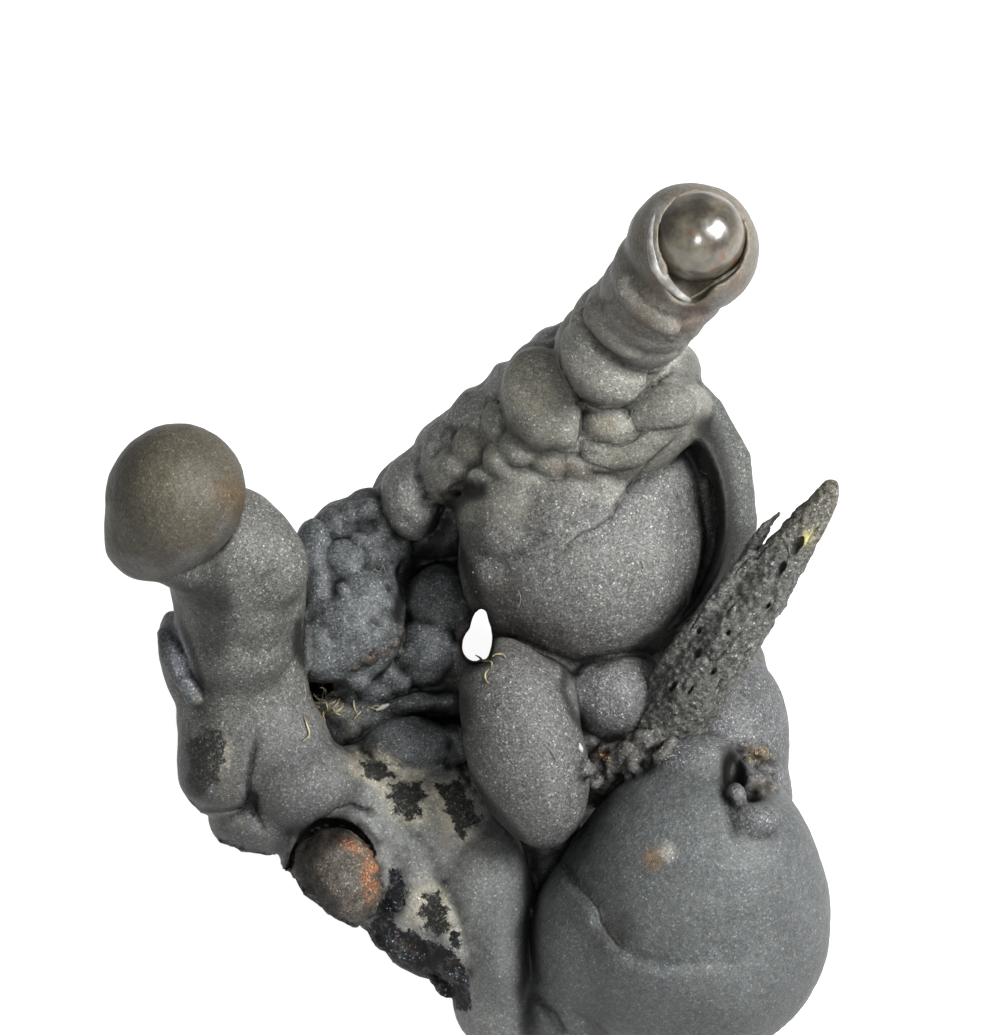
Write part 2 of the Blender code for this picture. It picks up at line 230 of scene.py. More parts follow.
@dataclass(frozen=True)
class Rod:
    """A rod along points that each have their own radius: (right, up, out, radius)."""

    axis: Track
    soft: float = 0.5
    frame: Frame = Frame.FACE

    def box(self) -> tuple[Array, Array]:
        """Lowest and highest corner.

        Returns:
            The two corners, in millimetres.
        """
        at = np.array([STAND.place(p[:3], self.frame) for p in self.axis])
        radii = np.array([[p[3]] for p in self.axis])
        return (at - radii).min(0), (at + radii).max(0)

    def distance(self, points: Array) -> Array:
        """Distance of the points from the rod's surface, negative inside.

        Args:
            points: places, in millimetres.

        Returns:
            One distance for each point.
        """
        nearest = np.full(points.shape[:-1], 1e3)
        for start, end in zip(self.axis, self.axis[1:]):
            a, b = STAND.place(start[:3], self.frame), STAND.place(end[:3], self.frame)
            share = np.clip(((points - a) @ (b - a)) / ((b - a) @ (b - a)), 0.0, 1.0)
            away = np.sqrt(((points - a - share[..., None] * (b - a)) ** 2).sum(-1))
            nearest = np.minimum(nearest, away - (start[3] + (end[3] - start[3]) * share))
        return nearest


@dataclass(frozen=True)
class Lump:
    """A lobe, or a pit where it is cut, on the surface seen at a place of the picture."""

    at: Pair
    size: Pair
    stands: float
    turn: float = 0.0
    soft: float = 0.35
    bulk: float = 1.0

    @classmethod
    def rows(cls, *rows: tuple[float, ...]) -> tuple["Lump", ...]:
        """Lumps from rows of numbers: place, half-sizes and the other fields in order."""
        return tuple(cls(row[:2], row[2:4], *row[4:]) for row in rows)

    def settled(self, face: Array, cut: bool) -> Ball:
        """The lump as a ball.

        Args:
            face: the surface point that it sits on, in the face frame.
            cut: true for a pit.

        Returns:
            The ball that stands out of the surface, or goes into it, by as much as the lump says.
        """
        nearer = 1.0 - face[2] / STAND.camera_distance
        across = tuple(nearer * s for s in self.size)
        deep = self.bulk * max(min(across), self.stands)
        out = face[2] + (deep - self.stands if cut else self.stands - deep)
        return Ball((face[0], face[1], out), (*across, deep), self.turn, self.soft)


def smooth_min(a: Array, b: Array, width: float) -> Array:
    """The lesser of two distances, rounded where they differ by less than width."""
    overlap = np.maximum(width - np.abs(a - b), 0.0) / width
    return np.minimum(a, b) - overlap * overlap * width * 0.25


def rise(value: Array, low: float, high: float) -> Array:
    """Smooth step from 0 at low to 1 at high."""
    share = np.clip((value - low) / (high - low), 0.0, 1.0)
    return share * share * (3.0 - 2.0 * share)


def beside_line(seen: Array, line: Line) -> tuple[Array, Array, Array]:
    """How picture points lie beside an open line of picture points.

    Args:
        seen: picture points, two columns.
        line: the line's corners.

    Returns:
        For each point its distance in picture millimetres, its side (1 on the right of the walk
        along the line, -1 on the left) and the share of the walk where it is nearest.
    """
    nearest, side, reach = np.full(len(seen), 1e3), np.ones(len(seen)), np.ones(len(seen))
    for index, (start, end) in enumerate(zip(line, line[1:])):
        a, run = np.array(start), np.array(end) - np.array(start)
        share = np.clip(((seen - a) @ run) / (run @ run), 0.0, 1.0)
        away = np.hypot(*(seen - a - share[:, None] * run).T)
        closer = away < nearest - 1e-6
        cross = run[1] * (seen[:, 0] - a[0]) - run[0] * (seen[:, 1] - a[1])
        nearest = np.where(closer, away, nearest)
        side = np.where(closer, np.where(cross < 0.0, -1.0, 1.0), side)
        reach = np.where(closer, (index + share) / (len(line) - 1), reach)
    return nearest, side, reach


def from_line(seen: Array, line: Line) -> Array:
    """Distance of picture points from an open line of picture points, in picture millimetres."""
    return beside_line(seen, line)[0]


def scattered(at: Pair, spread: Pair, turn: float, count: int, draw: random.Random) -> list[Pair]:
    """Random places of the picture inside an ellipse.

    Args:
        at: its middle.
        spread: its half-sizes.
        turn: its turn, in degrees.
        count: how many places.
        draw: where the random numbers come from.

    Returns:
        The places.
    """
    c, s = math.cos(math.radians(turn)), math.sin(math.radians(turn))
    places = []
    for _ in range(count):
        reach, angle = math.sqrt(draw.random()), draw.uniform(0.0, math.tau)
        a, b = spread[0] * reach * math.cos(angle), spread[1] * reach * math.sin(angle)
        places.append((at[0] + a * c - b * s, at[1] + a * s + b * c))
    return places


class Rock:
    """The specimen's body as a field of distances: growths are added to it and hollows are cut."""

    EDGE = 3.0

    def __init__(self, low: Array, high: Array, cell: float) -> None:
        """Makes an empty field.

        Args:
            low: lowest corner, in millimetres.
            high: highest corner.
            cell: distance between samples.
        """
        self.low = low
        self.cell = cell
        self.counts = np.ceil((high - low) / cell).astype(int) + 1
        self.field = np.full(self.counts, self.EDGE, np.float32)
        self.parts = np.zeros(self.counts, np.uint8)

    def under(self, at: Pair, otherwise: float = 0.0) -> Array:
        """Face coordinates of the surface point that the camera sees at a place of the picture.

        Args:
            at: the place.
            otherwise: the depth that it has where the camera sees past the body.

        Returns:
            The point.
        """
        outs = np.append(np.arange(58.0, -40.0, -0.4 * self.cell), otherwise)
        share = 1.0 - outs / STAND.camera_distance
        face = np.stack([at[0] * share, at[1] * share, outs], -1)
        inside = np.nonzero(self.depth_at(face @ STAND.turn.T + STAND.middle) < 0.0)[0]
        return face[inside[0] if inside.size else -1]

    def reached(
        self, growths: tuple[Ball | Rod | Lump, ...], cut: bool
    ) -> Iterator[tuple[tuple[slice, ...], Array, float]]:
        """Goes through growths, each lump settled on the body as it is by then.

        Args:
            growths: the growths.
            cut: true where they are taken away.

        Yields:
            The slices of the field round the growth, its distance from their samples, and how soft it is.
        """
        for growth in growths:
            if isinstance(growth, Lump):
                growth = growth.settled(self.under(growth.at), cut)
            low, high = growth.box()
            margin = 2.0 + growth.soft
            first = np.maximum(np.floor((low - margin - self.low) / self.cell).astype(int), 0)
            last = np.minimum(np.ceil((high + margin - self.low) / self.cell).astype(int) + 1, self.counts)
            if (last > first).all():
                axes = [self.low[k] + self.cell * np.arange(first[k], last[k]) for k in range(3)]
                places = np.stack(np.meshgrid(*axes, indexing="ij"), -1)
                cells = tuple(slice(a, b) for a, b in zip(first, last))
                yield cells, growth.distance(places).astype(np.float32), growth.soft

    def add(self, part: Part, *growths: Ball | Rod | Lump) -> None:
        """Grows lobes, rods or lumps onto the body, as one part.

        Args:
            part: the part that they belong to.
            *growths: what is added, in order.
        """
        for cells, distance, soft in self.reached(growths, cut=False):
            self.parts[cells][distance < self.field[cells]] = part.value
            self.field[cells] = smooth_min(self.field[cells], distance, soft)

    def cut(self, part: Part, *growths: Ball | Rod | Lump) -> None:
        """Takes lobes, rods or lumps away from the body, and marks what they bare as the part.

        Args:
            part: the part that is bared.
            *growths: what is taken away, in order.
        """
        for cells, distance, soft in self.reached(growths, cut=True):
            self.parts[cells][(-distance > self.field[cells] - 0.6) & (distance < 0.6)] = part.value
            self.field[cells] = -smooth_min(-self.field[cells], distance, soft)

    def cut_floor(self, level: float) -> None:
        """Cuts the body off flat at a level."""
        heights = self.low[2] + self.cell * np.arange(self.counts[2], dtype=np.float32)
        self.field = np.maximum(self.field, (level - heights)[None, None, :])

    def surface(self, name: str) -> tuple[Array, Mesh]:
        """The body's surface.

        Args:
            name: the mesh's name.

        Returns:
            Its points in millimetres, and the mesh.
        """
        grid = openvdb.FloatGrid(self.EDGE)
        grid.copyFromArray(np.clip(self.field, -self.EDGE, self.EDGE).astype(np.float32))
        points, triangles, quads = grid.convertToPolygons(isovalue=0.0, adaptivity=0.0)
        faces = [tuple(face) for part in (triangles, quads) for face in part.tolist()]
        points = np.array(points, float) * self.cell + self.low
        mesh = bpy.data.meshes.new(name)
        mesh.from_pydata((points * MM).tolist(), [], faces)
        mesh.update()
        return points, mesh

    def part_at(self, points: Array) -> Array:
        """Number of the part that the nearest sample to each point belongs to."""
        index = np.clip(np.round((points - self.low) / self.cell).astype(int), 0, self.counts - 1)
        return self.parts[index[:, 0], index[:, 1], index[:, 2]]

    def depth_at(self, points: Array) -> Array:
        """Field value at each point, between samples.

        Args:
            points: places, in millimetres.

        Returns:
            One value for each point, in millimetres, negative inside.
        """
        place = np.clip((points - self.low) / self.cell, 0, self.counts - 1.001)
        first = place.astype(int)
        share = place - first
        value = np.zeros(len(points))
        for corner in np.ndindex(2, 2, 2):
            weight = np.prod(np.where(np.array(corner) == 1, share, 1.0 - share), axis=1)
            at = first + np.array(corner)
            value += weight * self.field[at[:, 0], at[:, 1], at[:, 2]]
        return value


def points_of(mesh: Mesh) -> Array:
    """The mesh's points, in millimetres.

    Args:
        mesh: the mesh, in metres.

    Returns:
        Three columns.
    """
    flat = np.empty(len(mesh.vertices) * 3, np.float32)
    mesh.vertices.foreach_get("co", flat)
    return flat.reshape(-1, 3).astype(float) / MM


def normals_of(mesh: Mesh) -> Array:
    """The mesh's point normals.

    Args:
        mesh: the mesh.

    Returns:
        Three columns.
    """
    flat = np.empty(len(mesh.vertices) * 3, np.float32)
    mesh.vertex_normals.foreach_get("vector", flat)
    return flat.reshape(-1, 3).astype(float)


def move_points(mesh: Mesh, points: Array) -> None:
    """Gives the mesh new points, in millimetres."""
    mesh.vertices.foreach_set("co", (points * MM).astype(np.float32).ravel())
    mesh.update()


def kept_inside(points: Array, corners: Box, margin: float = 0.6) -> Array:
    """Points that would leave a box through its sides or its top, pressed back into it.

    Args:
        points: the points, in millimetres.
        corners: lowest and highest corner of the box, in metres.
        margin: how far from its sides the pressing starts, in millimetres.

    Returns:
        The points.
    """
    for side, corner in zip((-1.0, 1.0), corners):
        room = side * np.array(corner) / MM - margin
        over = np.maximum(side * points - room, 0.0)
        if side < 0.0:
            over[:, 2] = 0.0
        points = points - side * (over - margin * (1.0 - np.exp(-over / margin)))
    return points


def keep_value(mesh: Mesh, name: str, values: Array) -> None:
    """Stores one number for each point of the mesh, for its finish to read."""
    attribute = mesh.attributes.new(name, "FLOAT", "POINT")
    attribute.data.foreach_set("value", values.astype(np.float32))


def mesh_of(name: str, shape: bmesh.types.BMesh) -> Mesh:
    """A new mesh of the shape, which is freed.

    Args:
        name: the mesh's name.
        shape: the shape.

    Returns:
        The mesh.
    """
    mesh = bpy.data.meshes.new(name)
    shape.to_mesh(mesh)
    shape.free()
    return mesh


def piece_of(name: str, mesh: Mesh) -> Piece:
    """A new object of the mesh, in the scene.

    Args:
        name: the name of the object and of its mesh.
        mesh: the mesh.

    Returns:
        The object.
    """
    mesh.name = name
    piece = bpy.data.objects.new(name, mesh)
    bpy.context.scene.collection.objects.link(piece)
    return piece


def baked(piece: Piece) -> Piece:
    """The object with its modifiers applied to a plain mesh.

    Args:
        piece: the object.

    Returns:
        The same object.
    """
    graph = bpy.context.evaluated_depsgraph_get()
    mesh = bpy.data.meshes.new_from_object(piece.evaluated_get(graph))
    piece.modifiers.clear()
    piece.data = mesh
    mesh.name = piece.name
    return piece


def rumpled(points: Array, grain: float, seed: float) -> Array:
    """Smooth noise between -1 and 1 at each point.

    Args:
        points: points in millimetres.
        grain: size of the noise's lumps, in millimetres.
        seed: shift that makes one noise differ from another.

    Returns:
        One value for each point.
    """
    shift = Vector((seed, 1.7 * seed, 2.3 * seed))
    scaled = points / grain
    return np.array([noise.noise(Vector(p) + shift) for p in scaled])


@dataclass(frozen=True)
class Back:
    """The unseen body behind the pictured face, down to the cut base."""

    masses: tuple[tuple[Point, Point], ...] = (
        ((2, -2, 20), (21, 17, 18)), ((-17, 2, 15), (14, 14, 14)), ((10, 6, 40), (14, 10, 14)),
        ((19, -5, 18), (14, 14, 16)), ((-9, -12, 12), (17, 13, 11)), ((16, 2, 50), (9, 8, 8)),
        ((3, 1, 7), (20, 15, 12)), ((-14, 1, 7), (15, 13, 12)), ((18, -3, 8), (13, 12, 12.5)),
        ((-8, -12, 6), (15, 11, 10.5)),
    )
    lobes: tuple[tuple[Point, float], ...] = (
        ((-21, 11, 17), 8.5), ((-9, 15, 13), 9.5), ((6, 17, 15), 9), ((19, 9, 12), 9.5),
        ((13, 15, 30), 7.5), ((-1, 14, 29), 7.5), ((-13, 8, 28), 6.5), ((22, 6, 27), 7), ((6, 14, 42), 6.5),
        ((17, 12, 43), 6.5), ((-29, 0, 15), 6.5), ((27, -7, 18), 6.5), ((-26, 7, 8), 6.5), ((27, 1, 8), 6),
        ((12, 10, 53), 5),
    )
    bud_fields: tuple[tuple[Point, Point], ...] = (
        ((2, 4, 21), (21, 15, 18)), ((-17, 4, 15), (17, 14, 15)), ((10, 7, 38), (14, 11, 14)),
        ((18, -2, 19), (14, 14, 15)),
    )
    buds_in_field: int = 20
    bud_radius: Pair = (3.4, 5.4)
    bud_reach: float = 0.95
    bud_lowest: float = 2.0
    bud_seed: int = 7

    def grow(self, rock: Rock) -> None:
        """Adds the masses, the large lobes and the buds that are spread by the golden angle.

        Args:
            rock: the body so far.
        """
        for at, size in self.masses:
            rock.add(Part.BACK, Ball(at, size, soft=3.0, frame=Frame.STAND))
        for at, radius in self.lobes:
            rock.add(Part.BACK, Ball(at, (radius, 0.9 * radius, radius), soft=0.7, frame=Frame.STAND))
        draw = random.Random(self.bud_seed)
        for at, size in self.bud_fields:
            for index in range(self.buds_in_field):
                height = 1.0 - 2.0 * (index + 0.5) / self.buds_in_field
                angle = index * math.radians(137.508) + 1.3
                reach = math.sqrt(1.0 - height * height)
                facing = Vector((reach * math.cos(angle), reach * math.sin(angle), height))
                radius = draw.uniform(*self.bud_radius)
                place = Vector(at) + self.bud_reach * Vector([a * b for a, b in zip(facing, size)])
                if facing.y > 0.25 and place.z > self.bud_lowest:
                    bud = Ball(tuple(place), (radius, radius, 0.95 * radius), soft=0.5, frame=Frame.STAND)
                    rock.add(Part.BACK, bud)


@dataclass(frozen=True)
class Ear:
    """Bowl behind the dome with the thick flange along its right edge, and the deep groove inside it."""

    bowl: Ball = Ball((13.5, 0.6, 5), (15.3, 16.4, 13), -4, 1.5)
    bowl_back: Ball = Ball((16.5, 0.5, -3), (12.5, 15, 11), -4, 1)
    top: Ball = Ball((20.6, 12, 2.5), (5, 4.8, 6))
    rim: Rod = Rod(((20.4, 14.7, 6.5, 2.6), (24, 11.9, 7.5, 2.5), (27, 6.6, 8, 2.4), (27.8, -0.3, 7.5, 2.3),
                    (27.1, -6.6, 5.5, 2.4), (24.7, -12.5, 2, 3)), 2)
    hollow: Ball = Ball((11.3, -0.5, 14), (15, 16.3, 14), soft=1)
    groove: Line = (
        (24.5, 11.2), (25.8, 7.6), (26.3, 3.6), (26.2, -0.6), (25.4, -4.6), (24, -8.6), (22.1, -12.2),
    )
    groove_half_width: float = 1.3
    groove_out: float = 7.6

    def grow(self, rock: Rock) -> None:
        """Adds the flange and hollows the bowl."""
        rock.add(Part.EAR, self.bowl, self.bowl_back, self.top, self.rim)
        rock.cut(Part.EAR, self.hollow)

    def cut_groove(self, rock: Rock) -> None:
        """Cuts the deep groove between the dome and the flange.

        Args:
            rock: the body so far.
        """
        nearer = 1.0 - self.groove_out / STAND.camera_distance
        ends = (0.4, 0.8, 1.0, 1.0, 1.0, 0.9, 0.6)
        axis = tuple(
            (nearer * u, nearer * v, self.groove_out, share * self.groove_half_width)
            for (u, v), share in zip(self.groove, ends)
        )
        rock.cut(Part.EAR, Rod(axis, 1.0))


@dataclass(frozen=True)
class Dome:
    """Dome in the middle, with the layer that covers its upper left."""

    body: Ball = Ball((10.4, -4.5, 3), (14.7, 13.5, 12.5), soft=0.4)
    cover: Ball = Ball((6.5, 2.5, 6.4), (11, 7.6, 8.6), 28, 1.6)
    bump: Ball = Ball((1.5, -0.3, 8), (5.5, 5, 5), soft=1.6)
    root: Ball = Ball((8, -17, 3.5), (4.6, 3.8, 5), soft=1)
    shelf: Ball = Ball((13.8, 2.6, 2.6), (11, 10.6, 9.6), soft=1.5)
    swellings: tuple[Lump, ...] = Lump.rows(
        (2.3, -1.2, 4.4, 3, 0.5, 24, 1.2), (7.6, 1.5, 4.7, 2.8, 0.5, 30, 1.2),
        (0.2, -6.1, 3.5, 3.7, 0.35, 0, 1.2),
    )

    def grow(self, rock: Rock) -> None:
        """Adds the dome."""
        rock.add(Part.DOME, self.body, self.cover, self.bump, self.root, self.shelf)

    def swell(self, rock: Rock) -> None:
        """Adds the shallow swellings of the layer."""
        rock.add(Part.DOME, *self.swellings)


@dataclass(frozen=True)
class Globe:
    """Big globe at the lower right, with its stepped growth layer and the swellings on its left."""

    body: Ball = Ball((22.7, -46.3, 4), (16.3, 16.3, 16), soft=0.7)
    layer: Ball = Ball((23.4, -40.3, 9.5), (13.4, 13.1, 12.5), -10, 2.5)
    foot: Ball = Ball((8.2, -57.4, 1), (5.6, 5.6, 8), soft=0.8)
    filling: Ball = Ball((6.7, -46.8, -8), (5.9, 12.9, 8), soft=1)
    left: Ball = Ball((9.8, -49.4, 3.6), (5.3, 8.8, 9.6), soft=2.5)

    def grow(self, rock: Rock) -> None:
        """Adds the globe."""
        rock.add(Part.GLOBE, self.body, self.layer, self.foot, self.filling, self.left)


@dataclass(frozen=True)
class Shoulder:
    """Mass between the spike and the globe, with its pit, the small ball in it and the lumps beside it."""

    masses: tuple[Ball, ...] = Ball.rows(
        (26.2, -25.7, -2, 8.3, 10.7, 11, 0, 0.6), (27.7, -32.3, -1, 6.9, 7, 10, 0, 1),
    )
    saddle: Lump = Lump((23.8, -28.8), (4.9, 3.5), 1.6, 0, 2)
    pit: tuple[Lump, ...] = Lump.rows(
        (28, -29.1, 1.5, 3, 3.2, -8, 0.5, 1.4), (29.9, -31.9, 2.3, 1.2, 1.4, 25, 0.5),
    )
    rough: tuple[Lump, ...] = Lump.rows(
        (30.8, -27.3, 1.2, 0.9, 0.9, 0, 0.3), (31.3, -29.4, 1.3, 0.8, 0.8, -20, 0.3),
        (30.5, -30.6, 1, 0.9, 0.9, 0, 0.3), (32.1, -31.5, 0.9, 0.8, 0.7, 0, 0.3),
        (29.4, -28.8, 0.7, 1, 0.9, 0, 0.3), (30.3, -28.5, 0.5, 0.6, 0.6, 20, 0.2),
        (31.6, -30.3, 0.6, 0.5, 0.6, -30, 0.2), (32.4, -29.4, 0.5, 0.5, 0.5, 0, 0.2),
        (30.9, -31.8, 0.6, 0.5, 0.5, 0, 0.2), (29.7, -30.2, 0.5, 0.5, 0.6, 0, 0.2),
        (32.3, -27.8, 0.5, 0.3, 0.4, 0, 0.2), (29, -26.5, 0.6, 0.5, 0.5, 0, 0.2),
    )
    pit_ball: Lump = Lump((28, -32.3), (1.4, 1.6), 2.2, 0, 0.15)
    knob: Lump = Lump((30.2, -35.3), (2.9, 2.2), 1.9, 8, 0.5)

    def grow(self, rock: Rock) -> None:
        """Adds the shoulder."""
        rock.add(Part.SHOULDER, *self.masses)

    def pit_it(self, rock: Rock) -> None:
        """Joins the shoulder to the globe, cuts the pit and adds what grows in and round it.

        Args:
            rock: the body so far.
        """
        rock.add(Part.SHOULDER, self.saddle)
        rock.cut(Part.HOLLOW, *self.pit)
        rock.add(Part.RUBBLE, *self.rough)
        rock.add(Part.SHOULDER, self.pit_ball, self.knob)


@dataclass(frozen=True)
class OblongBulbs:
    """Oblong bulb, the bulb beside it and the rubble under that one."""

    middle: Ball = Ball((13.8, -20.4, 5.3), (6.3, 5.9, 6.4), soft=0.25)
    filling: Ball = Ball((10.5, -26.5, 2), (8.5, 7, 6.5), soft=1)
    oblong: Ball = Ball((3.3, -25.7, 12), (6.8, 12.5, 7), 17, 0.3)
    oblong_top: Ball = Ball((1.3, -18.4, 9), (4.2, 4, 4.8), 16, 1.2)
    shoulder: Ball = Ball((5, -21, 9.6), (4.5, 4.9, 5.6), 0, 1.5)
    rubble: tuple[Ball, ...] = Ball.rows(
        (16.7, -27, 7, 5.5, 3.2, 5, 20), (12.5, -28.9, 5, 3.5, 3.2, 5),
    )
    grit_at: Pair = (15.5, -28)
    grit_spread: Pair = (5.6, 2.6)
    grit_turn: float = 22.0
    grit_count: int = 46
    grit_size: Pair = (0.5, 1.2)
    grit_seed: int = 3

    def grow(self, rock: Rock) -> None:
        """Adds the bulbs and the rubble's mass."""
        rock.add(Part.RUBBLE, self.filling, *self.rubble)
        rock.add(Part.BULB, self.middle, self.oblong, self.oblong_top, self.shoulder)

    def add_grit(self, rock: Rock) -> None:
        """Adds the gritty lumps of the rubble.

        Args:
            rock: the body so far.
        """
        draw = random.Random(self.grit_seed)
        for at in scattered(self.grit_at, self.grit_spread, self.grit_turn, self.grit_count, draw):
            size = draw.uniform(*self.grit_size)
            turn = draw.uniform(0.0, 90.0)
            rock.add(Part.RUBBLE, Lump(at, (size, 0.75 * size), 0.5 * size, turn, 0.2))


@dataclass(frozen=True)
class Column:
    """Left column with its round cap and the sliver on its outer side."""

    axis: Rod = Rod(((-34.5, -3.1, 19, 5.2), (-30.5, -3.5, 15, 7.2), (-29.2, -8.3, 11, 7.7),
                     (-29.4, -14.1, 6, 7.2), (-29.1, -22.5, 3, 7.8)), 0.6)
    cap: tuple[Ball, ...] = Ball.rows(
        (-35.9, 2.3, 24, 7.7, 8.4, 8, -33, 0.35), (-39.2, -2.3, 22, 5.1, 4.7, 6, -33, 1.4),
    )
    sliver: Rod = Rod(((-38, -13.4, 7.6, 0.8), (-37.2, -15.3, 8.8, 1.4), (-36.2, -17.4, 9.5, 1.5),
                       (-35.1, -19.3, 9.7, 1.2), (-34.5, -20.6, 9.5, 1.1)), 0.4)
    flank: Ball = Ball((-36.6, -16, 4.4), (2.2, 5.4, 4.6), 10, 1.5)
    swellings: tuple[Lump, ...] = Lump.rows(
        (-26.4, -4.9, 4.4, 5.8, 0.35, 20, 1.2), (-30.1, -16, 5.8, 4.2, 0.25, 0, 1.2),
    )

    def grow(self, rock: Rock) -> None:
        """Adds the column, its cap and its sliver.

        Args:
            rock: the body so far.
        """
        rock.add(Part.COLUMN, self.axis)
        rock.add(Part.CAP, *self.cap)
        rock.add(Part.COLUMN, self.flank)
        rock.add(Part.MIDDLE, self.sliver)
        rock.add(Part.COLUMN, *self.swellings)


@dataclass(frozen=True)
class LeftBulbs:
    """Bulbs at the column's foot."""

    bulbs: tuple[Ball, ...] = Ball.rows(
        (-27.2, -25.6, 4.6, 8.2, 5.2, 6.2, 0, 2.5), (-31.6, -29.3, 4.8, 4.9, 5.4, 5.8, 0, 2.5),
        (-22, -30.9, 4, 6.8, 5.6, 6.3, 0, 1.5), (-27.3, -34.8, 1, 6, 4.4, 6, 0, 0.8),
    )

    def grow(self, rock: Rock) -> None:
        """Adds the bulbs."""
        rock.add(Part.LEFT_BULB, *self.bulbs)


@dataclass(frozen=True)
class Platform:
    """Dusty platform, the broken bulb in its crust and the glassy broken edge."""

    lobes: tuple[Ball, ...] = Ball.rows(
        (-6.4, -42.3, -2, 10.3, 11.7, 7, 10, 1), (-10.2, -27.8, -1.4, 6, 5, 7.2, 0, 2.5),
        (-4.6, -34.4, 0.6, 4.6, 6.4, 5.6, 20, 1.5), (-0.8, -43.4, 2, 5.2, 7.7, 6, 0, 1.6),
        (0.3, -51.5, 0.6, 4.4, 7.6, 7.6, 8, 2.5), (-3.8, -48.5, 0, 4.6, 7, 6.8, 20, 1.5),
        (0.6, -56.6, -1, 5.2, 6, 7, 20, 1.5), (-14, -40, -3, 8.2, 7, 8, 0, 1.5),
        (-18.2, -40.6, 3, 6.7, 6.9, 6, 0, 1.5),
    )
    ramp: tuple[Ball, ...] = Ball.rows(
        (-14.5, -33.5, 1.2, 6, 7.5, 4.6, 40, 1.5), (-8, -36, 1, 8, 6, 4.6, -35, 1.5),
    )
    fracture_at: Point = (-14, -52.9, -12)
    fracture_facing: Point = (-0.68, -0.7, 0.2)
    fracture_radius: float = 40.0
    socket: Ball = Ball((-18.7, -41, 7), (5.3, 6.3, 7), soft=0.2)
    broken_bulb: Ball = Ball((-18.1, -41.7, 4.5), (5.35, 6.1, 6.1), 20, 0.15)
    edge_at: Point = (-19, -44, 2)
    edge_facing: Point = (-0.64, -0.77, -0.05)
    edge_radius: float = 30.0
    glassy: tuple[Lump, ...] = Lump.rows(
        (-11.6, -43.1, 1, 2.6, 1, 8, 0.3), (-12.2, -45.6, 1.4, 1, 0.8, 0, 0.3),
        (-5.5, -54.2, 2.3, 1.4, 0.6, -30, 0.3),
    )

    @staticmethod
    def break_off(at: Point, facing: Point, radius: float) -> Ball:
        """A big ball that touches a point and lies on the side that the broken surface faces."""
        middle = np.array(at) + radius * np.array(facing) / np.linalg.norm(facing)
        return Ball(tuple(middle), (radius, radius, radius), soft=0.3)

    def grow(self, rock: Rock) -> None:
        """Adds the platform and breaks its edge off.

        Args:
            rock: the body so far.
        """
        rock.add(Part.PLATFORM, *self.lobes, *self.ramp)
        rock.cut(Part.FRACTURE, self.break_off(self.fracture_at, self.fracture_facing, self.fracture_radius))
        rock.cut(Part.HOLLOW, self.socket)
        rock.add(Part.BROKEN_BULB, self.broken_bulb)
        rock.cut(Part.FRACTURE, self.break_off(self.edge_at, self.edge_facing, self.edge_radius))
        rock.add(Part.FRACTURE, *self.glassy)


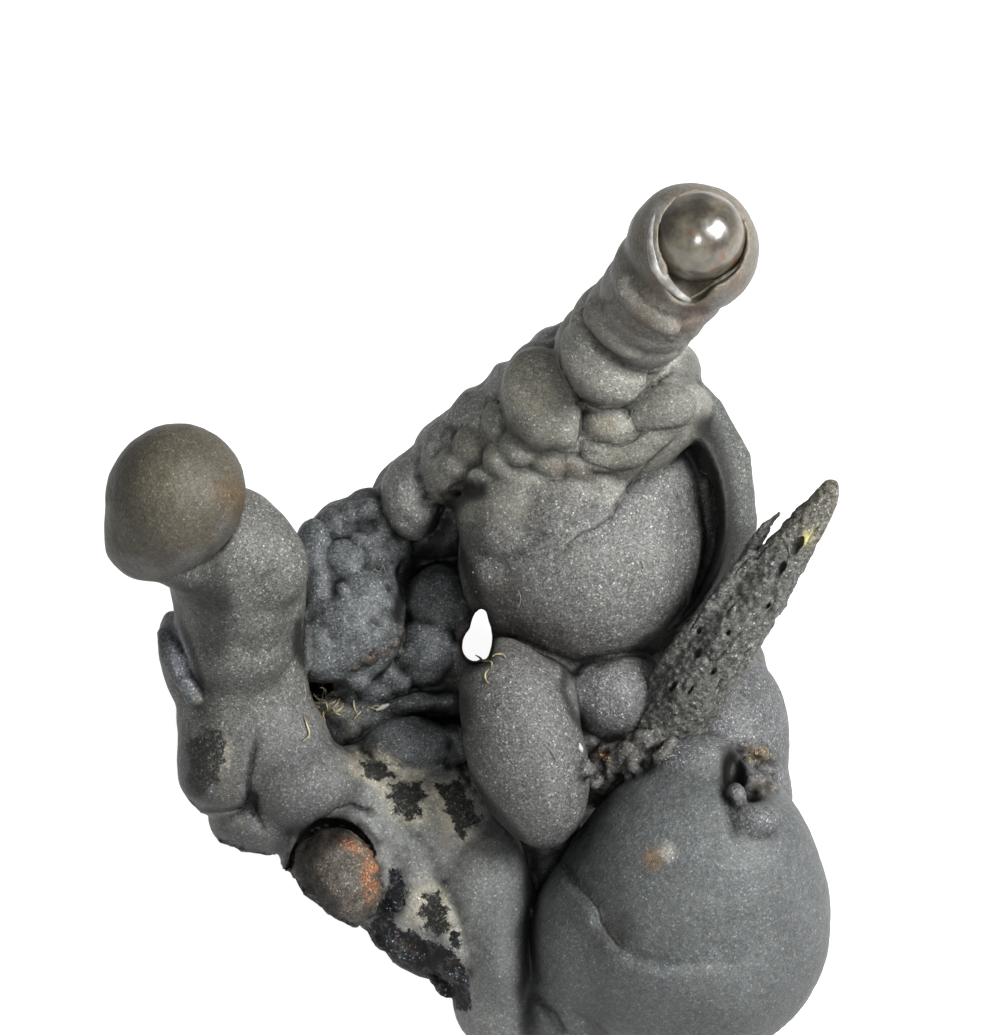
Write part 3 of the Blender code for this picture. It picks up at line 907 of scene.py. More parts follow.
@dataclass(frozen=True)
class MiddleLeft:
    """Wall between the column and the dome, with its lumps, its ledges and the hole beside the dome."""

    wall: tuple[Ball, ...] = Ball.rows(
        (-7, 1.5, -8, 9, 7, 6.5, 30, 1), (-9, -6, -12, 9, 7, 7, 0, 1), (-16.2, -6.4, -6, 7, 8.2, 6, 0, 0.8),
        (-14.1, -24, -5, 7.3, 5.2, 6, 0, 1), (-21.4, -6.3, 1, 2.8, 5.8, 4, 0, 1),
        (-14.8, 1.1, -1, 2.2, 2.2, 3, 0, 0.8), (-17.9, -0.5, -1, 2.3, 2.1, 3, 0, 0.8),
        (-15.8, -3, -2.2, 6, 5.6, 4.6, 0, 1.5), (-17.3, -12.6, 1.6, 6.6, 6.8, 4.6, 0, 1.8),
        (-14.6, -9, -0.4, 3.7, 5.4, 4.6, 20, 1.5), (-20.1, -15.4, 2, 3.2, 3.7, 4, 0, 0.8),
        (-6.5, -10.4, -3.8, 4.6, 5.1, 5.6, 0, 0.3), (-8.1, -15.6, -2.8, 4.3, 5, 5.5, 0, 0.3),
        (-12.4, -18.4, -3.4, 3.4, 3, 4.6, 0, 0.6), (-8, -21.5, -2, 5.6, 1.6, 4.4, 6, 0.4),
    )
    lumps: tuple[Lump, ...] = Lump.rows(
        (-17.6, -5.2, 2.7, 2.6, 2.2, 0, 0.2), (-15, 0.8, 1.9, 1.5, 1.1, 30, 0.3),
        (-13, -1, 1.2, 1.9, 0.9, 20, 0.3), (-16.9, 0.4, 1.3, 1.5, 0.9, 0, 0.3),
        (-18.7, -0.8, 1.5, 1.9, 0.8, 20, 0.3), (-20.8, -2.3, 1.6, 2.1, 0.6, 20, 0.4),
        (-15.7, -2.6, 1.2, 0.9, 0.6, -30, 0.3), (-13.8, -4.5, 1.7, 1.4, 0.6, -20, 0.4),
        (-20.1, -7.8, 1.4, 2.8, 0.7, 14, 0.4), (-17.7, -8.7, 1, 1.4, 0.6, 30, 0.3),
        (-15.2, -8.4, 2.6, 2.1, 0.5, 10, 0.6), (-12.9, -10.3, 1.6, 1.6, 0.4, 0, 0.6),
        (-17.3, -12.2, 3, 2.1, 0.35, 0, 0.8), (-20.6, -14.2, 2.3, 3, 0.4, 0, 0.6),
        (-22.1, -15.2, 1, 2.8, 0.7, -5, 0.3), (-14.8, -13.5, 2.1, 1.6, 0.35, 0, 0.6),
        (-13.8, -20.1, 2.1, 1.9, 1.2, 0, 0.4), (-16.2, -18.9, 1.6, 1.4, 0.7, 0, 0.4),
        (-11, -19.1, 1.6, 1.4, 0.6, 0, 0.4), (-4.3, -15.6, 1, 1.2, 0.7, 30, 0.4),
        (-10, -26.6, 5.1, 3.3, 1.5, 0, 0.7), (-5, -26.3, 2.1, 2.3, 0.8, 0, 0.5),
        (-17.4, -23.1, 2.1, 1.4, 0.5, -30, 0.3), (-19, -21.9, 1.2, 1, 0.6, 0, 0.3),
    )
    crust: tuple[Lump, ...] = Lump.rows(
        (-10.8, -13.3, 0.9, 0.5, 0.5, 60, 0.2), (-11.7, -14.6, 0.9, 0.6, 0.5, 20, 0.2),
        (-11, -15.6, 0.6, 0.5, 0.4, 0, 0.2), (-12.8, -15.6, 0.7, 0.3, 0.4, 30, 0.2),
        (-15, -16.6, 1.2, 0.5, 0.5, 20, 0.2), (-14.1, -15.6, 0.6, 0.5, 0.4, 0, 0.2),
        (-16.2, -17.3, 0.7, 0.3, 0.4, 40, 0.2), (-3.8, 3.7, 2.1, 0.6, 0.6, 12, 0.25),
        (-5.5, 2.6, 0.9, 0.6, 0.5, 60, 0.25), (-2.2, 3.9, 0.9, 0.5, 0.4, -20, 0.25),
    )
    hollow: Lump = Lump((-20.2, -19.8), (1.4, 1.5), 2.4, 0, 0.5)
    ledges: tuple[Lump, ...] = (Lump((-5.5, -23.8), (2.6, 0.6), 1.6, 4, 0.4),)
    hole: tuple[Ball, ...] = Ball.rows(
        (-1.9, -12.6, 0, 1, 2.2, 60, -14, 0.3), (-2.3, -14.9, 0, 1.6, 2.1, 60, 0, 0.4),
        (-1.2, -14.2, 0, 0.9, 2.6, 60, 0, 0.3), (-2.1, -14.7, -34, 4.4, 4.8, 26, 0, 0.4),
    )

    def grow(self, rock: Rock) -> None:
        """Adds the wall and what grows on it."""
        rock.add(Part.MIDDLE, *self.wall, *self.lumps)
        rock.cut(Part.HOLLOW, self.hollow, *self.ledges)

    def finish(self, rock: Rock) -> None:
        """Adds the brown crust and cuts the hole that goes right through."""
        rock.add(Part.CRUST, *self.crust)
        rock.cut(Part.HOLLOW, *self.hole)


@dataclass(frozen=True)
class Arm:
    """Lumpy arm from the horn's base down to the left, and the lumps crowded round that base."""

    arm: tuple[Ball, ...] = Ball.rows(
        (1.7, 9, 2, 7.4, 5.1, 7, 30, 1), (9, 13, 8, 9.5, 6, 6.5, 38, 0.8),
        (-9.4, 2.5, 1, 3.8, 5.2, 5, 0, 0.4), (-5.2, 7.2, 2.6, 4.4, 4.6, 6, 0, 2),
        (-1, 10.8, 5.4, 4.3, 4.4, 6, 0, 2), (3.1, 13.8, 8.4, 4.4, 4.6, 6.5, 0, 2),
        (7.5, 17.4, 11, 4.4, 4.4, 7, 0, 2), (11.3, 19.5, 13, 4.4, 4.4, 7, 0, 1.5),
    )
    lumps: tuple[Ball, ...] = Ball.rows(
        (6, 6.3, 10, 5.5, 3, 4, -8, 0.8), (21.8, 16.8, 5, 2, 3.1, 4, 0, 0.6),
        (20.6, 12.4, 9, 4, 3, 5, 10, 1.2), (5.4, 13.3, 14.4, 4.75, 6.8, 5.6, 8, 0.8),
    )
    fill: tuple[Ball, ...] = Ball.rows(
        (12.6, 9.5, 11, 8.5, 5.5, 6, 0, 1.5), (18.4, 12, 11, 5.5, 5, 6, 0, 1.5),
        (5, 8.5, 9.5, 7.5, 6, 5.5, 0, 1.5), (-2.6, 5.4, 6, 5.5, 4.5, 4.5, 20, 1.5),
        (1.5, 2.5, 9, 6, 4.5, 5, 20, 1.8), (19.2, 17.2, 7.5, 4, 3.6, 5, 0, 1),
    )
    pads: tuple[Lump, ...] = Lump.rows(
        (5.3, 13.9, 4.4, 6, 1.4, 14, 1.2, 0.7), (7.8, 10.9, 2.3, 3, 0.6, 10, 0.8),
        (12.7, 18.1, 4.2, 6, 1.5, 44, 1, 0.7), (11.7, 20.9, 2.6, 4, 0.5, 30, 1, 0.7),
        (19.4, 12.6, 4.3, 2.8, 1.4, 14, 0.8, 0.7), (13.3, 10.9, 3.3, 2.2, 1.5, -12, 0.5, 0.8),
        (14.2, 7.3, 4.4, 1.9, 1.1, 8, 0.6, 0.8), (17.4, 9.2, 4, 1.9, 0.8, 32, 0.4),
        (9.5, 6.5, 2.8, 2.1, 1, -28, 0.25), (11.5, 4.6, 2.3, 1.2, 0.5, -18, 0.4),
        (6.2, 6.7, 2.6, 1.9, 0.9, -30, 0.25), (3.1, 8.4, 2.6, 2.6, 1, -20, 0.3),
        (0.9, 7, 2.4, 2.3, 1.2, 0, 0.25), (0.6, 10.8, 2.1, 2.8, 0.8, 10, 0.4),
        (-2.4, 8.2, 2.6, 2.6, 1.2, 0, 0.3), (-4.1, 5.8, 2.4, 1.7, 0.6, -20, 0.5),
        (-1.3, 4.8, 2.1, 1.2, 0.35, 0, 0.6), (4.1, 4.4, 4.2, 1.9, 0.6, -14, 0.6),
        (2, 1.8, 4.2, 2.8, 0.8, 20, 0.8), (7.6, 2.5, 4, 2.1, 0.5, 14, 0.9),
        (12.2, 2.3, 3, 1.6, 0.4, 24, 0.9),
    )
    folds: tuple[Lump, ...] = Lump.rows(
        (13.6, 21.8, 2.3, 4.4, 0.6, 44, 0.9, 0.7), (17.8, 24.6, 2.1, 4.9, 0.5, 48, 0.9, 0.7),
    )
    pits: tuple[Lump, ...] = (Lump((-4.7, 3.2), (1.9, 0.6), 0.8, 8, 0.3),)

    def grow(self, rock: Rock) -> None:
        """Adds the arm and the lumps behind the horn."""
        rock.add(Part.ARM, *self.arm)
        rock.add(Part.LUMP, *self.lumps)

    def crowd(self, rock: Rock) -> None:
        """Adds the pads that crowd in front of the horn's base, the horn's folds and a pit.

        Args:
            rock: the body so far.
        """
        rock.add(Part.LUMP, *self.fill, *self.pads)
        rock.add(Part.HORN, *self.folds)
        rock.cut(Part.LUMP, *self.pits)


@dataclass(frozen=True)
class Horn:
    """Horn of stacked sleeves, with the open cup in its end and the ball in the cup."""

    sleeves: Track = (
        (11.6, 17, 15.6, 5.6), (12.8, 18.9, 20, 6.1), (14.4, 20.8, 24.5, 6.2), (16.2, 22.5, 28.5, 6.2),
        (17.8, 24.4, 32, 6.3), (19.3, 26.5, 35, 6.5), (21.6, 29.5, 37.5, 7.3),
    )
    half_length: float = 6.2
    cup: tuple[Ball, ...] = Ball.rows(
        (22.7, 30.4, 43, 4.9, 5.3, 6.2, 0, 0.3), (21.5, 27, 42.6, 2.7, 4, 4.5, -14, 0.5),
    )
    ball: Ball = Ball((22.2, 30.8, 40.1), (5.25, 4.95, 5.1), soft=0.05)

    def grow(self, rock: Rock) -> None:
        """Adds the sleeves and hollows the cup.

        Args:
            rock: the body so far.
        """
        for (*start, _), (*at, radius) in zip(((8.0, 13.0, 6.0, 0.0), *self.sleeves), self.sleeves[:-1]):
            along = tuple(Vector(at) - Vector(start))
            rock.add(Part.HORN, Ball(tuple(at), (radius, radius, self.half_length), soft=0.3, along=along))
        *at, radius = self.sleeves[-1]
        rock.add(Part.HORN_END, Ball(tuple(at), (radius, radius, radius), soft=0.3))
        rock.cut(Part.CUP, *self.cup)


def to_outline(seen: Array, outline: Line) -> Array:
    """Distance of picture points from a closed outline, negative inside.

    Args:
        seen: picture points, two columns.
        outline: the outline's corners.

    Returns:
        One distance for each point, in picture millimetres.
    """
    inside = np.zeros(len(seen), bool)
    u, v = seen.T
    for (u0, v0), (u1, v1) in zip(outline, (*outline[1:], outline[0])):
        if v0 != v1:
            inside ^= ((v0 > v) != (v1 > v)) & (u < u0 + (u1 - u0) * (v - v0) / (v1 - v0))
    away = from_line(seen, (*outline, outline[0]))
    return np.where(inside, -away, away)


@dataclass(frozen=True)
class Step:
    """Edge of a growth layer: the surface right of the line, walking along it, stands higher."""

    line: Line
    height: float
    fade: float
    width: float = 0.35

    def lift(self, seen: Array) -> Array:
        """How far each point is lifted.

        Args:
            seen: picture points, two columns.

        Returns:
            One height for each point, in millimetres.
        """
        nearest, side, reach = beside_line(seen, self.line)
        ends = rise(reach, 0.0, 0.12) * rise(1.0 - reach, 0.0, 0.25)
        edge = rise(side * nearest, -self.width, self.width)
        return self.height * ends * edge * np.exp(-nearest / self.fade)


@dataclass(frozen=True)
class Seam:
    """A crack or thin groove along a line of the picture."""

    line: Line
    width: float = 0.2
    depth: float = 0.15
    dark: float = 0.6
    taper: float = 0.15

    def across(self, seen: Array) -> tuple[Array, Array]:
        """Each point's distance across the seam in widths, with its side's sign, and the seam's strength.

        Args:
            seen: picture points, two columns.

        Returns:
            The distances and the strengths.
        """
        away, side, reach = beside_line(seen, self.line)
        ends = rise(reach, 0.0, self.taper) * rise(1.0 - reach, 0.0, self.taper)
        return side * away / self.width, self.dark * ends * (1.0 - rise(away, 0.7, 1.4))


@dataclass(frozen=True)
class Patch:
    """A soft-edged ellipse of the picture: its place, half-sizes, strength and turn in degrees."""

    at: Pair
    size: Pair
    share: float
    turn: float = 0.0

    @classmethod
    def rows(cls, *rows: tuple[float, ...]) -> tuple["Patch", ...]:
        """Patches from rows of numbers: place, half-sizes, strength and turn."""
        return tuple(cls(row[:2], row[2:4], *row[4:]) for row in rows)

    def cover(self, seen: Array) -> Array:
        """Share of the patch at each point.

        Args:
            seen: picture points, two columns.

        Returns:
            Values between 0 and the patch's strength.
        """
        angle = math.radians(self.turn)
        away = seen - np.array(self.at)
        along = away @ np.array([math.cos(angle), math.sin(angle)]) / self.size[0]
        across = away @ np.array([-math.sin(angle), math.cos(angle)]) / self.size[1]
        return self.share * (1.0 - rise(np.hypot(along, across), 0.35, 1.2))


@dataclass(frozen=True)
class Band:
    """A soft dark band along a line of the picture, where little light gets in."""

    line: Line
    half_width: float
    share: float

    def cover(self, seen: Array) -> Array:
        """Share of the band at each point."""
        away = from_line(seen, self.line) / self.half_width
        return self.share * (1.0 - rise(away, 0.25, 1.3))


@dataclass(frozen=True)
class Markings:
    """What is seen on the skin in the picture: layer edges, seams, stains, dust and chips, and painted shade
    and highlights.
    """

    steps: tuple[Step, ...] = (
        Step(((7.1, -39.4), (9.1, -42.4), (10.7, -44.2), (12, -45.8), (12.2, -47.2), (12.9, -48.2),
              (14.2, -50.1), (16.6, -51.5), (19.3, -52.2), (27.3, -52.2), (35.5, -50.3)), 1.1, 8, 0.7),
        Step(((23.8, 11.3), (20.5, 8.8), (15.6, 3.7), (13.7, 0.3), (7.6, -3.8), (2.9, -6.1)), 0.2, 4, 0.3),
        Step(((-29, 3.7), (-30.3, 0.6), (-32.6, -3.5), (-35.2, -5.6), (-40.1, -7.7)), 0.2, 5, 0.3),
    )
    seams: tuple[Seam, ...] = (
        Seam(((22.7, 10.8), (20.5, 8.8), (17.9, 6.5), (15.6, 3.7), (14.3, 1.8), (13.7, 0.3), (11.9, -1),
              (9.9, -1.9), (8.8, -2.8), (7.1, -4.7)), 0.2, 0.1, 0.5),
        Seam(((-27.9, -26.1), (-28.3, -28.8), (-28.6, -31.1), (-28.4, -33), (-27.7, -34.6),
              (-26.9, -36.1)), 0.3, 0.3, 0.6),
        Seam(((-35.5, -33.2), (-34.7, -33.7), (-33.1, -34.1), (-31.4, -34.1), (-29.4, -33.9),
              (-28, -32.6)), 0.3, 0.3, 0.75),
        Seam(((-20.6, -35.5), (-18.5, -33.9), (-16.6, -33.4), (-14.4, -34.2)), 0.25, 0.2, 0.6),
        Seam(((7.1, 20.1), (7.7, 17.6), (8.7, 15.3), (9.7, 13.7), (10.1, 12.3), (9.9, 9.7),
              (9.5, 7.6)), 0.25, 0.1, 0.75),
        Seam(((9.4, 13.4), (10.8, 13.1), (12.2, 12.7), (15, 12.7), (16.4, 13.7), (17.8, 15.1), (19.4, 16.2),
              (21.3, 17.3)), 0.25, 0.1, 0.7),
        Seam(((15, 13), (15.9, 11.3), (16.5, 9.8), (18, 10.1), (20.6, 10.3), (22.9, 10.8)), 0.25, 0.1, 0.5),
        Seam(((9.9, 9), (12.2, 8.7), (14.3, 8.3), (15.9, 8.9), (16.9, 9.8)), 0.25, 0.1, 0.6),
        Seam(((9.9, 9.5), (9.5, 7.7), (10.2, 6.6), (11.9, 5.9), (14, 5.4), (16.2, 5.8)), 0.25, 0.1, 0.35),
        Seam(((10.6, 24.4), (11.2, 21.3), (12.2, 19.5), (14.3, 17.8), (16.2, 16.8), (18, 16.5),
              (19.9, 17.2)), 0.4, 0.3, 0.3),
        Seam(((13.3, 24.9), (14.7, 22.8), (16.6, 21.3), (19, 20.3), (22.4, 20.5)), 0.4, 0.3, 0.3),
        Seam(((15.9, 27.2), (17.3, 25.1), (19.4, 23.7), (22, 23), (24.1, 23.5)), 0.4, 0.25, 0.25),
        Seam(((2.4, 8.5), (3.8, 7.6), (5.3, 7.5), (6.6, 8), (8.3, 7.2), (9.7, 7.5)), 0.3, 0.15, 0.5),
        Seam(((27, -33.1), (27.2, -34.9), (27.8, -36.8)), 0.4, 0.35, 0.5),
        Seam(((6.7, -38.9), (9.1, -42.2), (10.7, -44), (12, -45.5), (12.3, -47), (13, -48.2), (14.2, -49.8),
              (16.6, -51.2)), 0.25, 0, 0.5),
        Seam(((-10.6, -35.4), (-8, -38.5), (-7, -41), (-4.9, -44.6), (-3.5, -48.9),
              (-3, -52.4)), 0.6, 0.3, 0.2),
        Seam(((5.2, -56.1), (7.1, -57.7), (8.3, -60.3)), 0.4, 0.3),
    )
    chips: tuple[Line, ...] = (
        ((-15.7, -28.4), (-14.4, -28.7), (-13.5, -28.2), (-12.2, -28.7), (-12.6, -29.4), (-11.6, -30.1),
         (-12.8, -30.1), (-13.4, -31), (-14.3, -30.4), (-15.3, -30.1), (-15, -29.4)),
        ((-12.8, -30.9), (-11.7, -31.2), (-11, -30.5), (-9.8, -31), (-8.1, -30.4), (-8.7, -31.7),
         (-7.9, -32.5), (-9, -33.2), (-8.6, -34.5), (-9.9, -35.3), (-10.6, -34.1), (-11.9, -34.6),
         (-11.5, -33.2), (-12.6, -32.5), (-12, -31.8)),
        ((-6.9, -30.8), (-5.6, -31.1), (-4.3, -30.3), (-3.4, -31.2), (-3.7, -32.3), (-2.7, -33),
         (-2.4, -34.2), (-1.5, -34.9), (-2, -36), (-3.3, -35.6), (-3.7, -37.4), (-4.7, -36.1), (-5, -34.6),
         (-5.9, -34.1), (-5.6, -32.8), (-6.5, -32.2)),
        ((-9, -44.5), (-8, -44.8), (-8.3, -43.7), (-7.1, -44), (-6.6, -43.3), (-6.2, -44.7), (-5.6, -45.4),
         (-5.7, -46.6), (-4.9, -47.8), (-6, -48.4), (-6.9, -48.8), (-7.3, -47.7), (-8.6, -47.8),
         (-7.9, -46.8), (-9.1, -46.2), (-8.5, -45.4)),
        ((-35.5, -25.6), (-34.3, -25.4), (-33.4, -24.7), (-32.3, -24.6), (-31.4, -25.4), (-31.6, -26.8),
         (-31.3, -28.2), (-32.2, -29.1), (-32.1, -30.8), (-33.1, -31.2), (-34, -32.2), (-34.7, -30.9),
         (-35.7, -30.3), (-35.2, -28.8), (-35.8, -27.3)),
        ((-28.7, -32.8), (-27.7, -33.8), (-27.1, -35.4), (-28.3, -34.7), (-29.2, -33.5)),
    )
    # Stains and tones, with some painted shade and a painted highlight: colour, place, half-sizes, strength
    # and turn.
    washes_and_painted_light: tuple[tuple[str, Patch], ...] = tuple((colour, *Patch.rows(patch)) for colour, *patch in (
        # The first two darken the column's left side: painted shade.
        ("#30302b", -32.7, -11.3, 2.6, 8.1, 0.7), ("#33332f", -33.7, -21.8, 1.6, 3, 0.5),
        ("#6b5334", -31.4, 3.2, 2.3, 1.9, 0.6, 30), ("#6c6b68", -41.5, -5.6, 4.2, 1.2, 0.75, -24),
        ("#6c6b68", -35.9, -5.2, 3.3, 1.3, 0.75, 34), ("#676561", -31.5, -1.5, 1.3, 3.5, 0.6, -24),
        ("#4f4a3e", -43.6, 5.5, 3.5, 4.7, 0.4, 20), ("#807a66", -38.4, 4.4, 4.7, 3.5, 0.35),
        ("#6b5638", -29.7, 2, 1.2, 3, 0.5, -30), ("#86705a", 18.5, -39.7, 1.6, 1.7, 0.9),
        # The first, a pale spot on the globe, is a painted highlight.
        ("#c4bfb4", 20.2, -38.9, 1.2, 1.4, 0.7), ("#6f5137", 18.6, 26.5, 3.5, 1.6, 0.45, 50),
        ("#75543a", 22.7, 23, 3, 1.9, 0.5, 40), ("#6e5440", 16.9, 23, 3, 1.4, 0.35, 50),
        ("#6a5844", 15.7, 31.1, 1.6, 3.5, 0.4, -20), ("#7a5c44", 28.3, 27, 1.4, 1.6, 0.4),
        ("#86806e", 4.7, 13.7, 3.5, 3, 0.4), ("#57504a", 2.9, 10.2, 2.8, 1.9, 0.4, 20),
        ("#85765f", 12.9, 10.8, 2.1, 1.6, 0.45), ("#5a4a3c", 8.7, 5.5, 4.2, 1.2, 0.6, -18),
        ("#6b5c49", -2.9, 8.4, 3, 2.3, 0.4), ("#5a4632", -4.1, 3, 2.8, 1, 0.7, 10),
        ("#57534b", -31.4, -29.9, 2.3, 5.1, 0.6), ("#73503a", 12.6, -27.6, 1.2, 0.9, 0.7),
        ("#4a3c2e", 30.8, -31.7, 2.1, 1.4, 0.5), ("#7c6a4c", 30.2, -27.6, 1.9, 1.4, 0.6),
        ("#60564f", 5.2, -14.2, 7, 3.5, 0.35), ("#4e4742", 0.6, -9.6, 3.5, 4.7, 0.45),
        # The first, near-black brown in the straw hollow, is painted shade.
        ("#2b2118", -18.6, -20.1, 3, 1.6, 0.8), ("#7a6f62", 2.9, -37.5, 1.6, 2.3, 0.3),
        # The second darkens the platform's lower right lobe: painted shade.
        ("#5e4f42", -3.5, -14.2, 1.2, 2.3, 0.3), ("#575b5c", 1, -49.1, 4, 12.8, 0.75),
        # Both darken, the dome's right border by the groove and the globe's right side: painted shade.
        ("#5e605d", 22.2, -0.3, 3, 9.3, 0.6), ("#606365", 35, -44.5, 4, 12.8, 0.5),
        ("#8f9194", 13.7, -20.6, 5.1, 4.7, 0.3), ("#a9afb8", -36.6, -16, 1.4, 4.9, 0.85, 14),
        ("#2b2620", -35, -31.2, 1.5, 3, 0.85, -10), ("#85827c", -26.4, -30.5, 2.1, 4.7, 0.3),
        ("#bdb8a6", 4.3, 16, 3.7, 4.4, 0.6), ("#8f8b7e", 6.2, 10.8, 3.5, 3, 0.4),
        ("#67655d", 20.1, 12.3, 4.9, 3.5, 0.65), ("#686459", 15.9, 7.2, 5.3, 2.1, 0.6, 14),
        ("#62635e", 22.7, 17.2, 2.1, 3, 0.65), ("#6d6a61", 2, 1.5, 4.9, 3.7, 0.6),
        # The second, near-black in the cleft beside the column, is painted shade.
        ("#72706a", 11, 3.2, 5.1, 2.3, 0.5, 24), ("#2c2c2a", -22.3, -14.2, 1.4, 3, 0.75),
        # The second is the painted shadow of the globe's layer edge.
        ("#6b7074", -16.9, -11.9, 4, 4, 0.45), ("#4c4744", 13.8, -48.4, 2.3, 3.5, 0.6, -40),
        ("#6c6357", 17.8, 24.4, 2.8, 4.4, 0.6, 48),
    ))
    rust: tuple[Patch, ...] = Patch.rows(
        (-14.2, -40.8, 1.4, 4.2, 1, -6), (-16.6, -38.2, 2.3, 1, 0.7, -30),
    )
    dust: tuple[Patch, ...] = Patch.rows(
        (-14, -28.8, 5.2, 2.6, 1, -20), (-9.3, -32.8, 5.8, 4, 1, -35), (-5.2, -36.3, 5.3, 3, 0.9, -50),
        (-8.1, -44.5, 3.5, 5.1, 0.7, -30), (-4.7, -48, 1.9, 4.7, 0.5, 10), (-18, -23.5, 4, 2.6, 0.8, -20),
        (-31.7, -27.3, 1.9, 3, 0.4), (-31.4, -34.9, 3, 1.4, 0.4), (-14.5, -38.7, 3, 2.6, 0.5),
        (-34.9, -20.6, 1.6, 1, 0.6),
    )
    # The cup's polished lip band, painted paler as a highlight.
    polish: tuple[Patch | Band, ...] = (
        Band(((19.2, 36.2), (18.3, 34.6), (18, 32.7), (18.3, 30.9), (19, 29), (20, 27.4), (21.3, 26),
              (22.3, 25.4)), 0.7, 0.95),
    )
    shade: tuple[Patch | Band, ...] = (
        Band(((-38.3, -9.6), (-37.3, -11)), 1, 0.9),
        Band(((-37.6, -10.3), (-36.3, -12.6), (-35.3, -15.4), (-34.1, -19.1)), 0.5, 0.9),
        Band(((-36.6, -8.4), (-33.7, -9.6), (-31.7, -10.1)), 1.4, 0.6),
        Band(((24.5, 10.4), (25.9, 6.9), (26.6, 2.3), (26.6, -2.2), (25.5, -6.3), (23.5, -9.6),
              (21.3, -12.4)), 2, 0.97),
        Band(((-2, 3.4), (-4.5, 2.3), (-6.4, -0.9), (-7.6, -3.2)), 1.5, 0.97),
        Band(((-7.6, -3.2), (-9.9, -6.8), (-11, -9.6), (-11.4, -11.7)), 0.9, 0.95),
        Band(((-5, -3.5), (-3.1, -5.6), (-2, -9.1)), 1, 0.7),
        Band(((-2, 3.2), (-4.3, 2.7), (-5.9, 0.6), (-6.9, -1.9)), 1.3, 0.97),
        Patch((27.7, -29.1), (1.5, 2.6), 0.95),
        Band(((26.4, -30.5), (26.6, -32.4), (27.6, -33.5)), 0.6, 0.8),
        Patch((-20, -20.1), (1.6, 1.4), 0.85),
        Band(((-22.7, -12.2), (-23.1, -14.8), (-22.4, -16.8)), 0.7, 0.8),
        Band(((4.1, -39.4), (4.2, -44.5), (4, -50.3), (3.4, -54.9), (4.1, -59.6)), 1.3, 0.95),
        Band(((4.7, -55.6), (6.2, -57.3), (7.6, -59.6)), 0.8, 0.7),
        Band(((5.8, -39.4), (8.3, -38.2), (10.3, -35.9)), 0.8, 0.8),
        Band(((-5.2, -26.5), (-3.8, -29.4), (-1.3, -32.6), (0.9, -35.1), (3.1, -37.5)), 0.8, 0.95),
        Band(((-3.6, -21.2), (-3.4, -23.1)), 1.2, 0.7),
        Band(((-8.1, -23.3), (-5.7, -24), (-3.8, -24.7)), 0.8, 0.9),
        Band(((8.3, -17.5), (7.8, -20.1), (9, -22.8), (10.8, -25.3)), 0.6, 0.8),
        Band(((12.2, -17.2), (16.9, -14.9), (19.7, -13.1)), 0.7, 0.7),
        Band(((-19.8, -35.9), (-17.1, -35.3), (-15, -36.1), (-13.7, -37.7)), 0.6, 0.85),
        Band(((-17.8, -36.6), (-20.6, -37.8), (-22.3, -40.3), (-21.3, -42.7), (-19.2, -45.1)), 1.5, 0.75),
        Band(((-33.4, -24.5), (-34.8, -27.3), (-34.4, -31.1), (-32.6, -33.8)), 0.6, 0.35),
    )
    glassy: tuple[Line, ...] = (
        ((-14.8, -46.1), (-13.4, -46.6), (-12, -46.8), (-11.2, -48), (-9.3, -48.3), (-8.3, -49.2),
         (-6.4, -49.6), (-5, -50.4), (-4, -51.7), (-3.1, -53.5), (-2.9, -57.3), (-7.6, -57.3),
         (-12.8, -51.5)),
        ((-12.2, -41.2), (-11.2, -40.8), (-10.5, -42.2), (-10.6, -44.2), (-11.4, -45.9), (-12.9, -46.5),
         (-14.1, -45.6), (-12.7, -44.2), (-12.1, -42.8)),
        ((-5, -48), (-4.2, -48.4), (-4, -49.8), (-4.7, -50.1), (-5.2, -49.1)),
    )

    @staticmethod
    def total(patches: tuple[Patch | Band, ...], seen: Array) -> Array:
        """The patches' and bands' joint cover of each point, at most 1.

        Args:
            patches: the patches and bands.
            seen: picture points, two columns.

        Returns:
            Values between 0 and 1.
        """
        clear = np.ones(len(seen))
        for patch in patches:
            clear *= 1.0 - patch.cover(seen)
        return 1.0 - clear


class Neighbours:
    """Which points of a mesh share an edge."""

    def __init__(self, mesh: Mesh) -> None:
        """Reads the mesh's edges.

        Args:
            mesh: the mesh.
        """
        flat = np.empty(len(mesh.edges) * 2, np.int32)
        mesh.edges.foreach_get("vertices", flat)
        self.pairs = flat.reshape(-1, 2)
        self.counts = np.bincount(flat, minlength=len(mesh.vertices)).astype(float)

    def smooth(self, values: Array, rounds: int) -> Array:
        """The values after each has moved half-way to its neighbours' mean, that many times.

        Args:
            values: one value or row for each point.
            rounds: how many times.

        Returns:
            The smoothed values.
        """
        columns = values.reshape(len(values), -1).astype(float)
        a, b = self.pairs.T
        count = len(columns)
        for _ in range(rounds):
            sums = [np.bincount(a, c[b], count) + np.bincount(b, c[a], count) for c in columns.T]
            columns = 0.5 * columns + 0.5 * (np.stack(sums, 1) / self.counts[:, None])
        return columns.reshape(values.shape)


